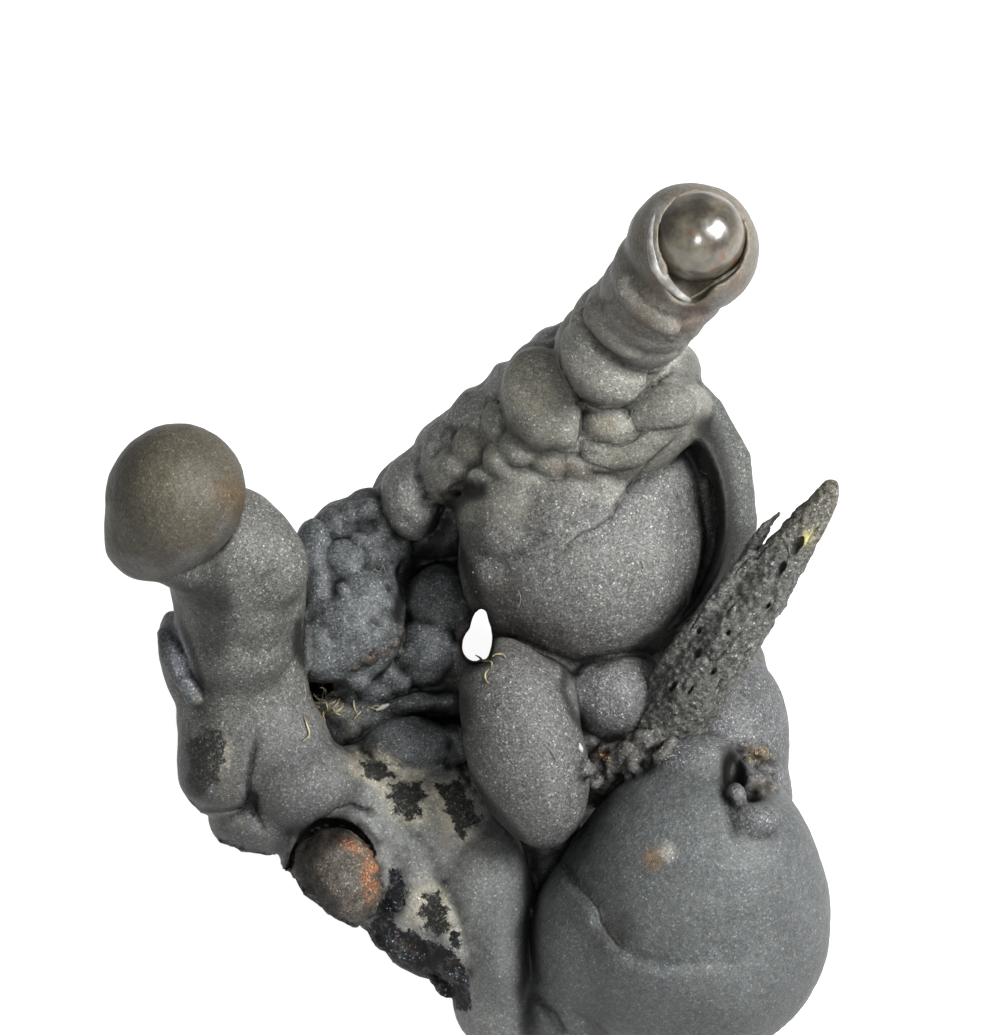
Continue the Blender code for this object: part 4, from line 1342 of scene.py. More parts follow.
class Skin:
    """The specimen's outer surface as one closed mesh, finest where the picture shows it."""

    CELL = 0.34
    TRIANGLES = 197_000
    FAVOUR_FRONT = 6e-5
    # Where thinning begins and is full: how the surface faces the camera, and how far back it is.
    TURNED_AWAY = (-0.35, 0.15)
    FAR_BACK = (-30.0, -12.0)
    # Size of the cells in which the foremost point hides the others, and how far it hides them.
    COVER_CELL = 0.7
    COVER_DEPTH = 2.6
    LOW = np.array([-46.0, -43.0, -1.0])
    HIGH = np.array([46.0, 43.0, 104.0])
    # Grain and depth of each layer of lumps, its seed, and the parts that have it.
    LUMPY = (
        (7.0, 0.22, 3.0, tuple(Part)),
        (2.6, 0.10, 11.0, tuple(Part)),
        (1.1, 0.05, 17.0, tuple(Part)),
        (0.9, 0.28, 31.0, (Part.FRACTURE, Part.CRUST, Part.RUBBLE)),
        (2.1, 0.5, 33.0, (Part.FRACTURE,)),
        (2.4, 0.4, 35.0, (Part.BROKEN_BULB,)),
        (0.9, 0.25, 37.0, (Part.BROKEN_BULB,)),
        (2.8, 0.4, 41.0, (Part.MIDDLE, Part.ARM, Part.BACK)),
        (1.3, 0.15, 43.0, (Part.MIDDLE, Part.ARM, Part.BACK)),
    )
    # How strongly each part takes the painted crease shade.
    CREASE_SHADE_SHARE = {Part.CUP: 0.4, Part.LUMP: 0.6, Part.HORN: 0.8, Part.GLOBE: 0.5}
    # Share of painted shade on skin that faces down.
    PAINTED_UNDERSIDE_SHADE = 0.45
    # Tone of each part, and how gritty it is.
    LOOKS = {
        Part.BACK: ("#444441", 0.9), Part.EAR: ("#40423f", 0.9),
        Part.DOME: ("#4e4e4c", 0.9), Part.GLOBE: ("#434646", 0.5),
        Part.SHOULDER: ("#454647", 0.9), Part.BULB: ("#454544", 0.9),
        Part.COLUMN: ("#484845", 0.9), Part.CAP: ("#3d3930", 0.45),
        Part.LEFT_BULB: ("#424342", 0.7), Part.PLATFORM: ("#626462", 0.45),
        Part.BROKEN_BULB: ("#37322c", 1.0), Part.MIDDLE: ("#404344", 0.9),
        Part.ARM: ("#656764", 0.7), Part.LUMP: ("#63635c", 0.55),
        Part.HORN: ("#62605a", 0.35), Part.HORN_END: ("#57534b", 0.2),
        Part.CUP: ("#5a5347", 0.1), Part.FRACTURE: ("#050505", 0.0),
        # The hollows' near-black tone is painted shade.
        Part.HOLLOW: ("#151514", 0.2), Part.RUBBLE: ("#42413e", 0.9),
        Part.CRUST: ("#2a2016", 0.9),
    }

    def __init__(self) -> None:
        """Grows the rock."""
        self.rock = Rock(self.LOW, self.HIGH, self.CELL)
        ear, dome, shoulder, bulbs = Ear(), Dome(), Shoulder(), OblongBulbs()
        left, middle, arm = (Column(), LeftBulbs(), Platform()), MiddleLeft(), Arm()
        for growth in (Back(), ear, dome, Globe(), shoulder, bulbs, *left, middle, arm):
            growth.grow(self.rock)
        ear.cut_groove(self.rock)
        Horn().grow(self.rock)
        arm.crowd(self.rock)
        dome.swell(self.rock)
        shoulder.pit_it(self.rock)
        bulbs.add_grit(self.rock)
        middle.finish(self.rock)
        self.rock.cut_floor(0.0)

    def mesh(self) -> Mesh:
        """The surface, thinned where the camera doesn't see it.

        Returns:
            The mesh, in metres.
        """
        points, mesh = self.rock.surface("skin")
        piece = piece_of("skin", mesh)
        face = STAND.in_face(points)
        facing = normals_of(mesh) @ STAND.turn[:, 2]
        hidden = 1.0 - rise(facing, *self.TURNED_AWAY) * rise(face[:, 2], *self.FAR_BACK)
        group = piece.vertex_groups.new(name="hidden")
        for level in range(5):
            chosen = np.nonzero((hidden * 4.999).astype(int) == level)[0]
            group.add(chosen.tolist(), 0.5 + level / 8.0, "REPLACE")
        thin = piece.modifiers.new("Thin", "DECIMATE")
        thin.ratio = self.TRIANGLES / (len(mesh.loops) - 2 * len(mesh.polygons))
        thin.vertex_group = "hidden"
        thin.vertex_group_factor = self.FAVOUR_FRONT
        mesh = baked(piece).data
        bpy.data.objects.remove(piece)
        return mesh

    def visible(self, face: Array, seen: Array, facing: Array) -> Array:
        """Which points the camera sees, as values between 0 and 1.

        Args:
            face: the points, as face coordinates.
            seen: the points, as the picture shows them.
            facing: how squarely the skin faces the camera at each, 1 at most.

        Returns:
            One value for each point.
        """
        cell = np.floor((seen + 70.0) / self.COVER_CELL).astype(int)
        key = cell[:, 0] * 400 + cell[:, 1]
        nearest = np.full(key.max() + 1, -1e3)
        np.maximum.at(nearest, key, face[:, 2])
        return (face[:, 2] > nearest[key] - self.COVER_DEPTH) * rise(facing, -0.25, 0.0)

    def carve(self, mesh: Mesh, marks: Markings, box: Box) -> None:
        """Moves the points: undulations so that no lobe is a perfect ball, layer edges and seams.

        Args:
            mesh: the skin.
            marks: what is seen on it.
            box: lowest and highest corner that it may reach, in metres.
        """
        points = points_of(mesh)
        normals = normals_of(mesh)
        face = STAND.in_face(points)
        seen = STAND.seen(points)
        visible = self.visible(face, seen, normals @ STAND.turn[:, 2])
        above = rise(points[:, 2], 0.05, 1.5)
        part = self.rock.part_at(points)
        away = np.zeros(len(points))
        for grain, depth, seed, parts in self.LUMPY:
            lumpy = np.isin(part, [each.value for each in parts])
            away[lumpy] += depth * rumpled(points[lumpy], grain, seed)
        for step in marks.steps:
            away += visible * step.lift(seen)
        for seam in marks.seams:
            away -= visible * seam.depth * np.exp(-((from_line(seen, seam.line) / (2.0 * seam.width)) ** 2))
        points += normals * (away * above)[:, None]
        points[:, 2] = np.maximum(points[:, 2], 0.0)
        move_points(mesh, kept_inside(points, box))

    def paint(self, mesh: Mesh, marks: Markings) -> None:
        """Keeps on the skin what its finish needs to know of each point.

        Args:
            mesh: the skin.
            marks: what is seen on it.
        """
        points = points_of(mesh)
        normals = normals_of(mesh)
        face = STAND.in_face(points)
        seen = STAND.seen(points)
        visible = self.visible(face, seen, normals @ STAND.turn[:, 2])
        around = Neighbours(mesh)
        part = self.rock.part_at(points)
        table, grit = np.zeros((len(Part), 3)), np.zeros(len(Part))
        for each, (tone, grit[each.value]) in self.LOOKS.items():
            table[each.value] = linear(tone)[:3]
        # Painted shade: the tone darkens where the skin faces down.
        under = self.PAINTED_UNDERSIDE_SHADE * (1.0 - rise(normals[:, 2], -0.6, 0.7))
        tone = around.smooth(table[part], 5) * (1.0 - under)[:, None]
        for colour, patch in marks.washes_and_painted_light:
            share = (visible * patch.cover(seen))[:, None]
            tone = tone * (1.0 - share) + share * np.array(seen_as(colour)[:3])
        colours = mesh.attributes.new("tone", "FLOAT_COLOR", "POINT")
        colours.data.foreach_set("color", np.c_[tone, np.ones(len(tone))].astype(np.float32).ravel())
        # Painted shade in creases and hollows: how concave each point is at three scales, and how crowded
        # the space outside it is.
        hollow = np.zeros(len(points))
        smoothed = points
        for rounds, depth in ((2, 0.05), (8, 0.22), (40, 1.3)):
            smoothed = around.smooth(smoothed, rounds)
            hollow += np.clip(((smoothed - points) * normals).sum(1) / depth, -0.25, 1.0)
        crowd = np.zeros(len(points))
        for reach in (1.5, 3.0, 6.0):
            room = self.rock.depth_at(points + normals * reach) / min(reach, 2.9)
            crowd += np.clip(1.0 - room, 0.0, 1.0) / 3.0
        for each, share in self.CREASE_SHADE_SHARE.items():
            hollow *= np.where(part == each.value, share, 1.0)
        keep_value(mesh, "crease", np.clip(0.42 * hollow + 0.5 * crowd, -0.2, 1.0))
        keep_value(mesh, "shade", visible * marks.total(marks.shade, seen))
        keep_value(mesh, "rust", visible * marks.total(marks.rust, seen) * (part == Part.BROKEN_BULB.value))
        keep_value(mesh, "dust", visible * marks.total(marks.dust, seen))
        kept = {}
        for name, outlines in (("chip", marks.chips), ("glass_edge", marks.glassy)):
            away = np.min([to_outline(seen, outline) for outline in outlines], axis=0)
            kept[name] = np.where(visible > 0.4, np.minimum(away, 3.0), 3.0)
            keep_value(mesh, name, kept[name])
        seam, dark = np.full(len(points), 9.0), np.zeros(len(points))
        for each in marks.seams:
            across, strength = each.across(seen)
            closer = (strength > 0.0) & (np.abs(across) < np.abs(seam))
            dark = np.where(closer, strength, dark)
            seam = np.where(closer, across, seam)
        keep_value(mesh, "seam", seam)
        keep_value(mesh, "seam_dark", dark * (visible > 0.5))
        polish = visible * marks.total(marks.polish, seen)
        keep_value(mesh, "polish", polish)
        polished = np.isin(part, (Part.HORN_END.value, Part.CUP.value)).astype(float)
        keep_value(mesh, "gloss", np.maximum(0.4 * around.smooth(polished, 2), polish))
        keep_value(mesh, "grit", around.smooth(grit[part], 5))
        broken = visible * around.smooth((part == Part.FRACTURE.value).astype(float), 1) > 0.5
        broken |= kept["glass_edge"] < -0.1
        ends = np.empty(len(mesh.loops), np.int32)
        mesh.loops.foreach_get("vertex_index", ends)
        starts = np.empty(len(mesh.polygons), np.int32)
        mesh.polygons.foreach_get("loop_start", starts)
        mesh.polygons.foreach_set("material_index", broken[ends[starts]].astype(np.int32))


def linear(hex_colour: str) -> tuple[float, float, float, float]:
    """An sRGB hex colour as linear red, green, blue and alpha."""
    parts = [int(hex_colour[i : i + 2], 16) / 255.0 for i in (1, 3, 5)]
    return (*[c / 12.92 if c <= 0.04045 else ((c + 0.055) / 1.055) ** 2.4 for c in parts], 1.0)


def add_node(
    tree: bpy.types.NodeTree, kind: str, inputs: dict | None = None, **settings: object
) -> bpy.types.Node:
    """Adds a node.

    Args:
        tree: the tree it goes in.
        kind: its type name.
        inputs: what its inputs are set to: a value, or another node's output socket to link.
        **settings: its own properties.

    Returns:
        The node.
    """
    node = tree.nodes.new(kind)
    for name, value in settings.items():
        setattr(node, name, value)
    for key, value in (inputs or {}).items():
        socket = node.inputs[key]
        if isinstance(value, Socket):
            tree.links.new(value, socket)
        else:
            socket.default_value = value
    return node


class Kind(Enum):
    """Nodes that a finish is made of: type, inputs in the order they are given, output, settings."""

    ADD = ("ShaderNodeMath", (0, 1), 0, {"operation": "ADD"})
    SUBTRACT = ("ShaderNodeMath", (0, 1), 0, {"operation": "SUBTRACT"})
    MULTIPLY = ("ShaderNodeMath", (0, 1), 0, {"operation": "MULTIPLY"})
    MULTIPLY_ADD = ("ShaderNodeMath", (0, 1, 2), 0, {"operation": "MULTIPLY_ADD"})
    MAXIMUM = ("ShaderNodeMath", (0, 1), 0, {"operation": "MAXIMUM"})
    ABSOLUTE = ("ShaderNodeMath", (0,), 0, {"operation": "ABSOLUTE"})
    # Smooth step of a value from 0 at the second number to 1 at the third.
    STEP = ("ShaderNodeMapRange", (0, 1, 2), 0, {"interpolation_type": "SMOOTHSTEP"})
    MIX = ("ShaderNodeMix", (0, 6, 7), 2, {"data_type": "RGBA", "clamp_factor": True})
    GREY = ("ShaderNodeCombineColor", (0, 1, 2), 0, {})
    SPLIT = ("ShaderNodeSeparateColor", (0,), None, {})
    # Clouds and grains, whose first number is their size in millimetres.
    CLOUD = ("ShaderNodeTexNoise", ("Scale", "Detail", "Roughness"), "Fac", {})
    GRAINS = ("ShaderNodeTexVoronoi", ("Scale",), "Color", {})
    # A value that the mesh keeps for each of its points.
    KEPT = ("ShaderNodeAttribute", (), "Fac", {})
    BUMP = ("ShaderNodeBump", ("Height", "Distance", "Strength", "Normal"), 0, {})


class Painter:
    """Writes a finish as sums of values in one node tree."""

    def __init__(self, name: str) -> None:
        """Makes an empty material with a Principled surface.

        Args:
            name: the material's name.
        """
        self.material = bpy.data.materials.new(name)
        self.material.use_nodes = True
        self.tree = self.material.node_tree
        self.surface = self.tree.nodes["Principled BSDF"]
        coordinates = add_node(self.tree, "ShaderNodeTexCoord").outputs["Object"]
        in_mm = {0: coordinates, "Scale": 1.0 / MM}
        self.place = add_node(self.tree, "ShaderNodeVectorMath", in_mm, operation="SCALE").outputs["Vector"]

    def __call__(self, kind: Kind, *given: object, **settings: object) -> Socket:
        """Adds a node.

        Args:
            kind: what the node does.
            *given: its inputs in the kind's order: numbers, hex colours, or sockets to link.
            **settings: properties that it has besides the kind's own.

        Returns:
            Its output, or all its outputs where the kind names none.
        """
        node_type, keys, output, own = kind.value
        inputs = {key: linear(value) if isinstance(value, str) else value for key, value in zip(keys, given)}
        if kind in (Kind.CLOUD, Kind.GRAINS):
            inputs.update(Vector=self.place, Scale=1.0 / inputs["Scale"])
        outputs = add_node(self.tree, node_type, inputs, **own, **settings).outputs
        return outputs if output is None else outputs[output]

    def times(self, colour: object, factor: object) -> Socket:
        """A colour made brighter or darker by a factor."""
        return self(Kind.MIX, 1.0, colour, self(Kind.GREY, factor, factor, factor), blend_type="MULTIPLY")

    def set(self, **inputs: object) -> None:
        """Sets or links the surface's inputs, whose names have _ for a space.

        Args:
            **inputs: a value, or a socket to link, for each.
        """
        for name, value in inputs.items():
            socket = self.surface.inputs[name.replace("_", " ")]
            if isinstance(value, Socket):
                self.tree.links.new(value, socket)
            else:
                socket.default_value = value


def seen_as(hex_colour: str) -> tuple[float, float, float, float]:
    """Albedo of a colour that the picture shows under its own light."""
    return (*[ALBEDO * c for c in linear(hex_colour)[:3]], 1.0)


@dataclass(frozen=True)
class GoethiteFinish:
    """Fine-grained goethite: satin dark grey, crystals a fifth of a millimetre across, a few with painted
    glints.
    """

    # Colour that the painted shade bands darken to.
    dark: str = "#1c1b19"
    dust: str = "#a79f8d"
    chip: str = "#2a2a27"
    chip_glint: str = "#8f9087"
    chip_rim: str = "#e2dac2"
    rust: str = "#b5713e"
    glass: str = "#161618"
    # Pale colour of the cup's polished lip band, partly a painted highlight.
    polished: str = "#bebcb6"
    gold: str = "#a08a5e"
    blue: str = "#6d7f95"
    # Sizes in millimetres of the patterns: crystals, mottling, clouds and ragged edges.
    grain: float = 0.165
    mottle: float = 0.75
    cloud: float = 5.0
    dust_cloud: float = 2.2
    ragged: float = 0.9
    rim_cloud: float = 1.6
    chip_cloud: float = 0.4
    chip_grain: float = 0.22
    chip_pore: float = 0.35
    rust_cloud: float = 1.3
    seam_cloud: float = 0.8
    roughness: float = 0.5
    specular: float = 0.2
    # Values that the skin keeps for this finish.
    reads: tuple[str, ...] = (
        "dust", "grit", "chip", "rust", "glass_edge", "polish", "seam", "seam_dark", "crease", "shade",
        "gloss",
    )

    def material(self) -> bpy.types.Material:
        """Builds the material from the values that the skin keeps.

        Returns:
            The material.
        """
        p = Painter("goethite_satin_crust")
        # The kept tone already holds the painted underside shade, and the painted shade and highlight of
        # some washes.
        tone = add_node(p.tree, "ShaderNodeAttribute", attribute_name="tone").outputs["Color"]
        kept = {name: p(Kind.KEPT, attribute_name=name) for name in self.reads}
        mottle = p(Kind.CLOUD, self.mottle, 4.0, 0.7)
        ragged = p(Kind.MULTIPLY_ADD, p(Kind.CLOUD, self.ragged, 6.0, 0.85), 3.4, -1.7)
        dust = p(Kind.STEP, p(Kind.CLOUD, self.dust_cloud, 5.0, 0.65), 0.34, 0.7)
        dust = p(Kind.MULTIPLY, kept["dust"], dust)
        grit = p(Kind.MULTIPLY, kept["grit"], p(Kind.MULTIPLY_ADD, dust, -0.7, 1.0))
        cloud = p(Kind.MULTIPLY_ADD, p(Kind.CLOUD, self.cloud, 3.0), 0.5, 0.75)
        colour = p.times(tone, p(Kind.MULTIPLY, cloud, p(Kind.MULTIPLY_ADD, mottle, 1.0, 0.5)))
        colour = p(Kind.MIX, p(Kind.MULTIPLY, dust, 0.78), colour, seen_as(self.dust))
        edge = p(Kind.ADD, kept["chip"], ragged)
        chipped = p(Kind.STEP, edge, 0.05, -0.05)
        rim = p(Kind.STEP, p(Kind.CLOUD, self.rim_cloud, 3.0, 0.6), 0.25, 0.55)
        rim = p(Kind.MULTIPLY, p(Kind.STEP, edge, 2.0, 0.1), rim)
        rim = p(Kind.MULTIPLY, rim, p(Kind.STEP, kept["dust"], 0.1, 0.9))
        colour = p(Kind.MIX, p(Kind.MULTIPLY, rim, 0.9), colour, seen_as(self.chip_rim))
        colour = p(Kind.MIX, chipped, colour, self.chip_colour(p))
        rust = p(Kind.STEP, p(Kind.CLOUD, self.rust_cloud, 4.0, 0.6), 0.3, 0.6)
        rust = p(Kind.MULTIPLY, kept["rust"], rust)
        colour = p(Kind.MIX, p(Kind.MULTIPLY, rust, 0.85), colour, seen_as(self.rust))
        glassy = p(Kind.ADD, kept["glass_edge"], ragged)
        colour = p(Kind.MIX, p(Kind.STEP, glassy, 0.1, -0.05), colour, seen_as(self.glass))
        # The lip band is polished, and painted paler as a highlight.
        polish = p(Kind.MULTIPLY, kept["polish"], 0.75)
        colour = p(Kind.MIX, polish, colour, seen_as(self.polished))
        fine = p(Kind.SPLIT, p(Kind.GRAINS, self.grain))
        colour = self.grains_with_painted_glints(p, colour, grit, fine)
        across = p(Kind.MULTIPLY_ADD, p(Kind.CLOUD, self.seam_cloud, 3.0), 1.6, -0.8)
        across = p(Kind.ABSOLUTE, p(Kind.ADD, kept["seam"], across))
        seam = p(Kind.MULTIPLY, p(Kind.STEP, across, 1.2, 0.1), kept["seam_dark"])
        # The painted crease shade, and the seams' dark lines where darker, darken the colour.
        hollow = p(Kind.MAXIMUM, kept["crease"], seam)
        colour = p.times(colour, p(Kind.MULTIPLY_ADD, hollow, -0.95, 1.0))
        # Painted shade along the shade bands.
        shade = p(Kind.MULTIPLY, kept["shade"], 0.97)
        colour = p(Kind.MIX, shade, colour, seen_as(self.dark))
        grains = p(Kind.BUMP, p(Kind.MULTIPLY, grit, fine[1]), 0.06 * MM, 0.7)
        lumps = p(Kind.BUMP, mottle, 0.22 * MM, 0.8, grains)
        pores = p(Kind.MULTIPLY, chipped, p(Kind.CLOUD, self.chip_pore, 3.0, 0.7))
        pitted = p(Kind.SUBTRACT, 1.0, p(Kind.MAXIMUM, pores, seam))
        p.set(
            Base_Color=colour,
            Roughness=p(Kind.MULTIPLY_ADD, kept["gloss"], -0.3, self.roughness),
            Specular_IOR_Level=self.specular,
            Normal=p(Kind.BUMP, pitted, 0.3 * MM, 0.8, lumps),
        )
        return p.material

    def chip_colour(self, p: Painter) -> Socket:
        """The dark colour inside a chip, mottled paler, with painted glints.

        Args:
            p: the painter of the finish.

        Returns:
            The colour.
        """
        pale = p(Kind.STEP, p(Kind.CLOUD, self.chip_cloud, 4.0, 0.8), 0.35, 0.75)
        chip = p.times(seen_as(self.chip), p(Kind.MULTIPLY_ADD, pale, 3.0, 0.4))
        # Painted glints: a few grains are given a pale greenish grey.
        specks = p(Kind.STEP, p(Kind.SPLIT, p(Kind.GRAINS, self.chip_grain))[1], 0.8, 0.95)
        return p(Kind.MIX, p(Kind.MULTIPLY, specks, 0.55), chip, seen_as(self.chip_glint))

    def grains_with_painted_glints(self, p: Painter, colour: Socket, grit: Socket, fine: bpy.types.NodeOutputs) -> Socket:
        """The colour split into grains of differing brightness and hue, with painted glints on a few.

        Args:
            p: the painter of the finish.
            colour: the even colour.
            grit: how gritty the surface is.
            fine: the grains' three random values.

        Returns:
            The colour.
        """
        spread = p(Kind.MULTIPLY, p(Kind.MULTIPLY, grit, 1.15), p(Kind.SUBTRACT, fine[0], 0.5))
        colour = p.times(colour, p(Kind.ADD, spread, 1.0))
        hue = p(Kind.MIX, p(Kind.STEP, fine[2], 0.4, 0.6), self.gold, self.blue)
        colour = p(Kind.MIX, 0.12, colour, p(Kind.MIX, 1.0, colour, hue, blend_type="COLOR"))
        coarse = p(Kind.SPLIT, p(Kind.GRAINS, 1.2 * self.grain))
        # Painted glints: a few grains are made much brighter.
        painted_glint = p(Kind.MULTIPLY, p(Kind.STEP, coarse[1], 0.86, 1.0), p(Kind.MULTIPLY, grit, 1.3))
        bright = p(Kind.MULTIPLY, p(Kind.STEP, fine[2], 0.975, 0.995), p(Kind.MULTIPLY, grit, 2.4))
        return p.times(colour, p(Kind.ADD, p(Kind.ADD, painted_glint, bright), 1.0))


@dataclass(frozen=True)
class FractureFinish:
    """Fresh break through the crust: black, glassy and splintered, brown in places, with its sheen painted
    as paler grey splinters and bluish glints.
    """

    black: str = "#262628"
    brown: str = "#4a3b34"
    grey: str = "#676b6f"
    painted_glint: str = "#c9d8e4"
    # Sizes in millimetres of the splinters, the brown stains, the patches of painted glints and the
    # crystals.
    splinter: float = 1.3
    stain: float = 2.6
    painted_glint_patch: float = 3.2
    grain: float = 0.2

    def material(self) -> bpy.types.Material:
        """Builds the material.

        Returns:
            The material.
        """
        p = Painter("goethite_glassy_break")
        splinters = p(Kind.CLOUD, self.splinter, 6.0, 0.8)
        stained = p(Kind.STEP, p(Kind.CLOUD, self.stain, 4.0), 0.5, 0.66)
        colour = p(Kind.MIX, stained, seen_as(self.black), seen_as(self.brown))
        # Paler grey splinters: painted sheen on the break's facets.
        colour = p(Kind.MIX, p(Kind.STEP, splinters, 0.5, 0.62), colour, seen_as(self.grey))
        grains = p(Kind.SPLIT, p(Kind.GRAINS, self.grain))
        # Painted glints: pale bluish grains in a few patches.
        spark = p(Kind.STEP, p(Kind.CLOUD, self.painted_glint_patch, 2.0), 0.45, 0.65)
        spark = p(Kind.MULTIPLY, p(Kind.STEP, grains[1], 0.93, 0.98), spark)
        colour = p(Kind.MIX, spark, colour, seen_as(self.painted_glint))
        # Painted shade in creases; elsewhere the colour is made a fifth lighter.
        colour = p.times(colour, p(Kind.MULTIPLY_ADD, p(Kind.KEPT, attribute_name="crease"), -0.5, 1.2))
        normal = p(Kind.BUMP, splinters, 0.9 * MM, 1.0)
        p.set(Base_Color=colour, Roughness=0.42, Specular_IOR_Level=0.06, Normal=normal)
        return p.material


@dataclass(frozen=True)
class GlossFinish:
    """Polished goethite skin of the ball in the cup: brown grey and rusty in places, with a mirror gloss."""

    dark: str = "#3d372d"
    light: str = "#958c7a"
    rust: str = "#7d4a26"
    # Sizes in millimetres of the clouds, the rust spots and the ripples.
    cloud: float = 4.0
    spot: float = 1.6
    ripple: float = 1.4

    def material(self) -> bpy.types.Material:
        """Builds the material.

        Returns:
            The material.
        """
        p = Painter("goethite_polished_ball")
        cloudy = p(Kind.STEP, p(Kind.CLOUD, self.cloud, 4.0, 0.6), 0.3, 0.7)
        rusty = p(Kind.STEP, p(Kind.CLOUD, self.spot, 3.0), 0.58, 0.74)
        colour = p(Kind.MIX, rusty, p(Kind.MIX, cloudy, self.dark, self.light), self.rust)
        normal = p(Kind.BUMP, p(Kind.CLOUD, self.ripple, 3.0), 0.1 * MM, 0.6)
        p.set(Base_Color=p.times(colour, ALBEDO), Roughness=0.28, Normal=normal)
        p.set(Coat_Weight=0.5, Coat_Roughness=0.16)
        return p.material


@dataclass(frozen=True)
class PlainFinish:
    """A finish of one material with little in it: lint, straw, a crystal or the cup's pale lip."""

    name: str
    light: str
    dark: str
    grain: float
    roughness: float

    def material(self) -> bpy.types.Material:
        """Builds the material.

        Returns:
            The material.
        """
        p = Painter(self.name)
        cloudy = p(Kind.STEP, p(Kind.CLOUD, self.grain, 3.0, 0.6), 0.36, 0.64)
        colour = p.times(p(Kind.MIX, cloudy, self.dark, self.light), ALBEDO)
        p.set(Base_Color=colour, Roughness=self.roughness)
        return p.material


# Finishes of what lies on the specimen and grows in its hollows.
STRAW = PlainFinish("dry_straw", "#ddcfa4", "#a68f62", 0.8, 0.6)
LINT = PlainFinish("cotton_lint", "#f2f1ea", "#d8d6cc", 0.8, 0.8)
HAIR = PlainFinish("pale_dust_hair", "#b9b5a6", "#8d887a", 1.0, 0.7)
# The lip's pale colour is partly a painted highlight.
LIP = PlainFinish("polished_goethite_lip", "#d6d4cc", "#8f8c86", 2.2, 0.25)
BROW = PlainFinish("worn_goethite_rim", "#a59c8a", "#6f6657", 1.2, 0.35)
FROST = PlainFinish("bluish_goethite_druse", "#d5e6f2", "#38424c", 0.5, 0.15)
GILT = PlainFinish("golden_crystals", "#d8b878", "#6b5334", 0.5, 0.3)
SPECK = PlainFinish("white_crystals", "#e8e8e4", "#a9aaa6", 0.5, 0.3)


class GrowingTree:
    """Geometry Nodes tree with named inputs that ends in a plain mesh of one material."""

    def __init__(self, name: str, **inputs: str) -> None:
        """Makes the tree and its inputs.

        Args:
            name: the tree's name.
            **inputs: what kind of socket each input is, besides the geometry and the material.
        """
        self.tree = bpy.data.node_groups.new(name, "GeometryNodeTree")
        face = self.tree.interface
        for key, kind in {"Geometry": "Geometry", **inputs, "Material": "Material"}.items():
            face.new_socket(key, in_out="INPUT", socket_type="NodeSocket" + kind)
        face.new_socket("Geometry", in_out="OUTPUT", socket_type="NodeSocketGeometry")
        self.given = add_node(self.tree, "NodeGroupInput").outputs

    def add(self, kind: str, inputs: dict, output: int = 0, **settings: object) -> Socket:
        """Adds a node and gives one of its outputs."""
        return add_node(self.tree, kind, inputs, **settings).outputs[output]

    def end_in(self, shape: Socket) -> None:
        """Makes the shape real, gives it the material and ends the tree.

        Args:
            shape: the output that holds the shape.
        """
        shape = self.add("GeometryNodeRealizeInstances", {0: shape})
        shape = self.add("GeometryNodeSetMaterial", {0: shape, "Material": self.given["Material"]})
        add_node(self.tree, "NodeGroupOutput", {0: shape})


class TubeTree(GrowingTree):
    """Makes round strands, thinner at both ends, of a mesh's edges."""

    def __init__(self) -> None:
        """Builds the tree."""
        super().__init__("strands", Radius="Float", Step="Float")
        path = self.add("GeometryNodeMeshToCurve", {0: self.given["Geometry"]})
        path = self.add("GeometryNodeCurveSplineType", {0: path}, spline_type="CATMULL_ROM")
        path = self.add("GeometryNodeResampleCurve", {0: path, "Length": self.given["Step"]}, mode="LENGTH")
        along = self.add("GeometryNodeSplineParameter", {})
        middle = self.add("ShaderNodeMath", {0: along, 1: 0.5}, operation="SUBTRACT")
        far = self.add("ShaderNodeMath", {0: middle}, operation="ABSOLUTE")
        taper = self.add("ShaderNodeMath", {0: far, 1: -1.3, 2: 1.1}, operation="MULTIPLY_ADD")
        size = {"Resolution": 7, "Radius": self.given["Radius"]}
        ring = self.add("GeometryNodeCurvePrimitiveCircle", size)
        tube = self.add("GeometryNodeCurveToMesh", {0: path, 1: ring, "Scale": taper, "Fill Caps": True})
        self.end_in(self.add("GeometryNodeSetShadeSmooth", {0: tube}))


class GrainTree(GrowingTree):
    """Sets a turned crystal of random size on each point of a mesh."""

    def __init__(self) -> None:
        """Builds the tree."""
        super().__init__("grains", Smallest="Float", Largest="Float", Length="Float", Seed="Int")
        given = self.given
        size = {"Vertices": 6, "Radius Top": 0.25, "Radius Bottom": 0.5, "Depth": given["Length"]}
        rod = self.add("GeometryNodeMeshCone", size)
        angles = {0: (0.0, 0.0, 0.0), 1: (math.tau, math.tau, math.tau), "Seed": given["Seed"]}
        turn = self.add("FunctionNodeRandomValue", angles, data_type="FLOAT_VECTOR")
        sizes = {2: given["Smallest"], 3: given["Largest"], "Seed": given["Seed"]}
        size = self.add("FunctionNodeRandomValue", sizes, 1)
        set_on = {"Points": given["Geometry"], "Instance": rod, "Rotation": turn, "Scale": size}
        self.end_in(self.add("GeometryNodeInstanceOnPoints", set_on))


def grown_by(tree: bpy.types.NodeTree, mesh: Mesh, **inputs: object) -> Piece:
    """A piece that a Geometry Nodes tree makes of a mesh.

    Args:
        tree: the tree.
        mesh: what the tree starts from, named as the piece.
        **inputs: the tree's inputs, by name.

    Returns:
        The piece, as a plain mesh.
    """
    piece = piece_of(mesh.name, mesh)
    nodes = piece.modifiers.new("Grow", "NODES")
    nodes.node_group = tree
    for socket in tree.interface.items_tree:
        if socket.in_out == "INPUT" and socket.name in inputs:
            nodes[socket.identifier] = inputs[socket.name]
    return baked(piece)


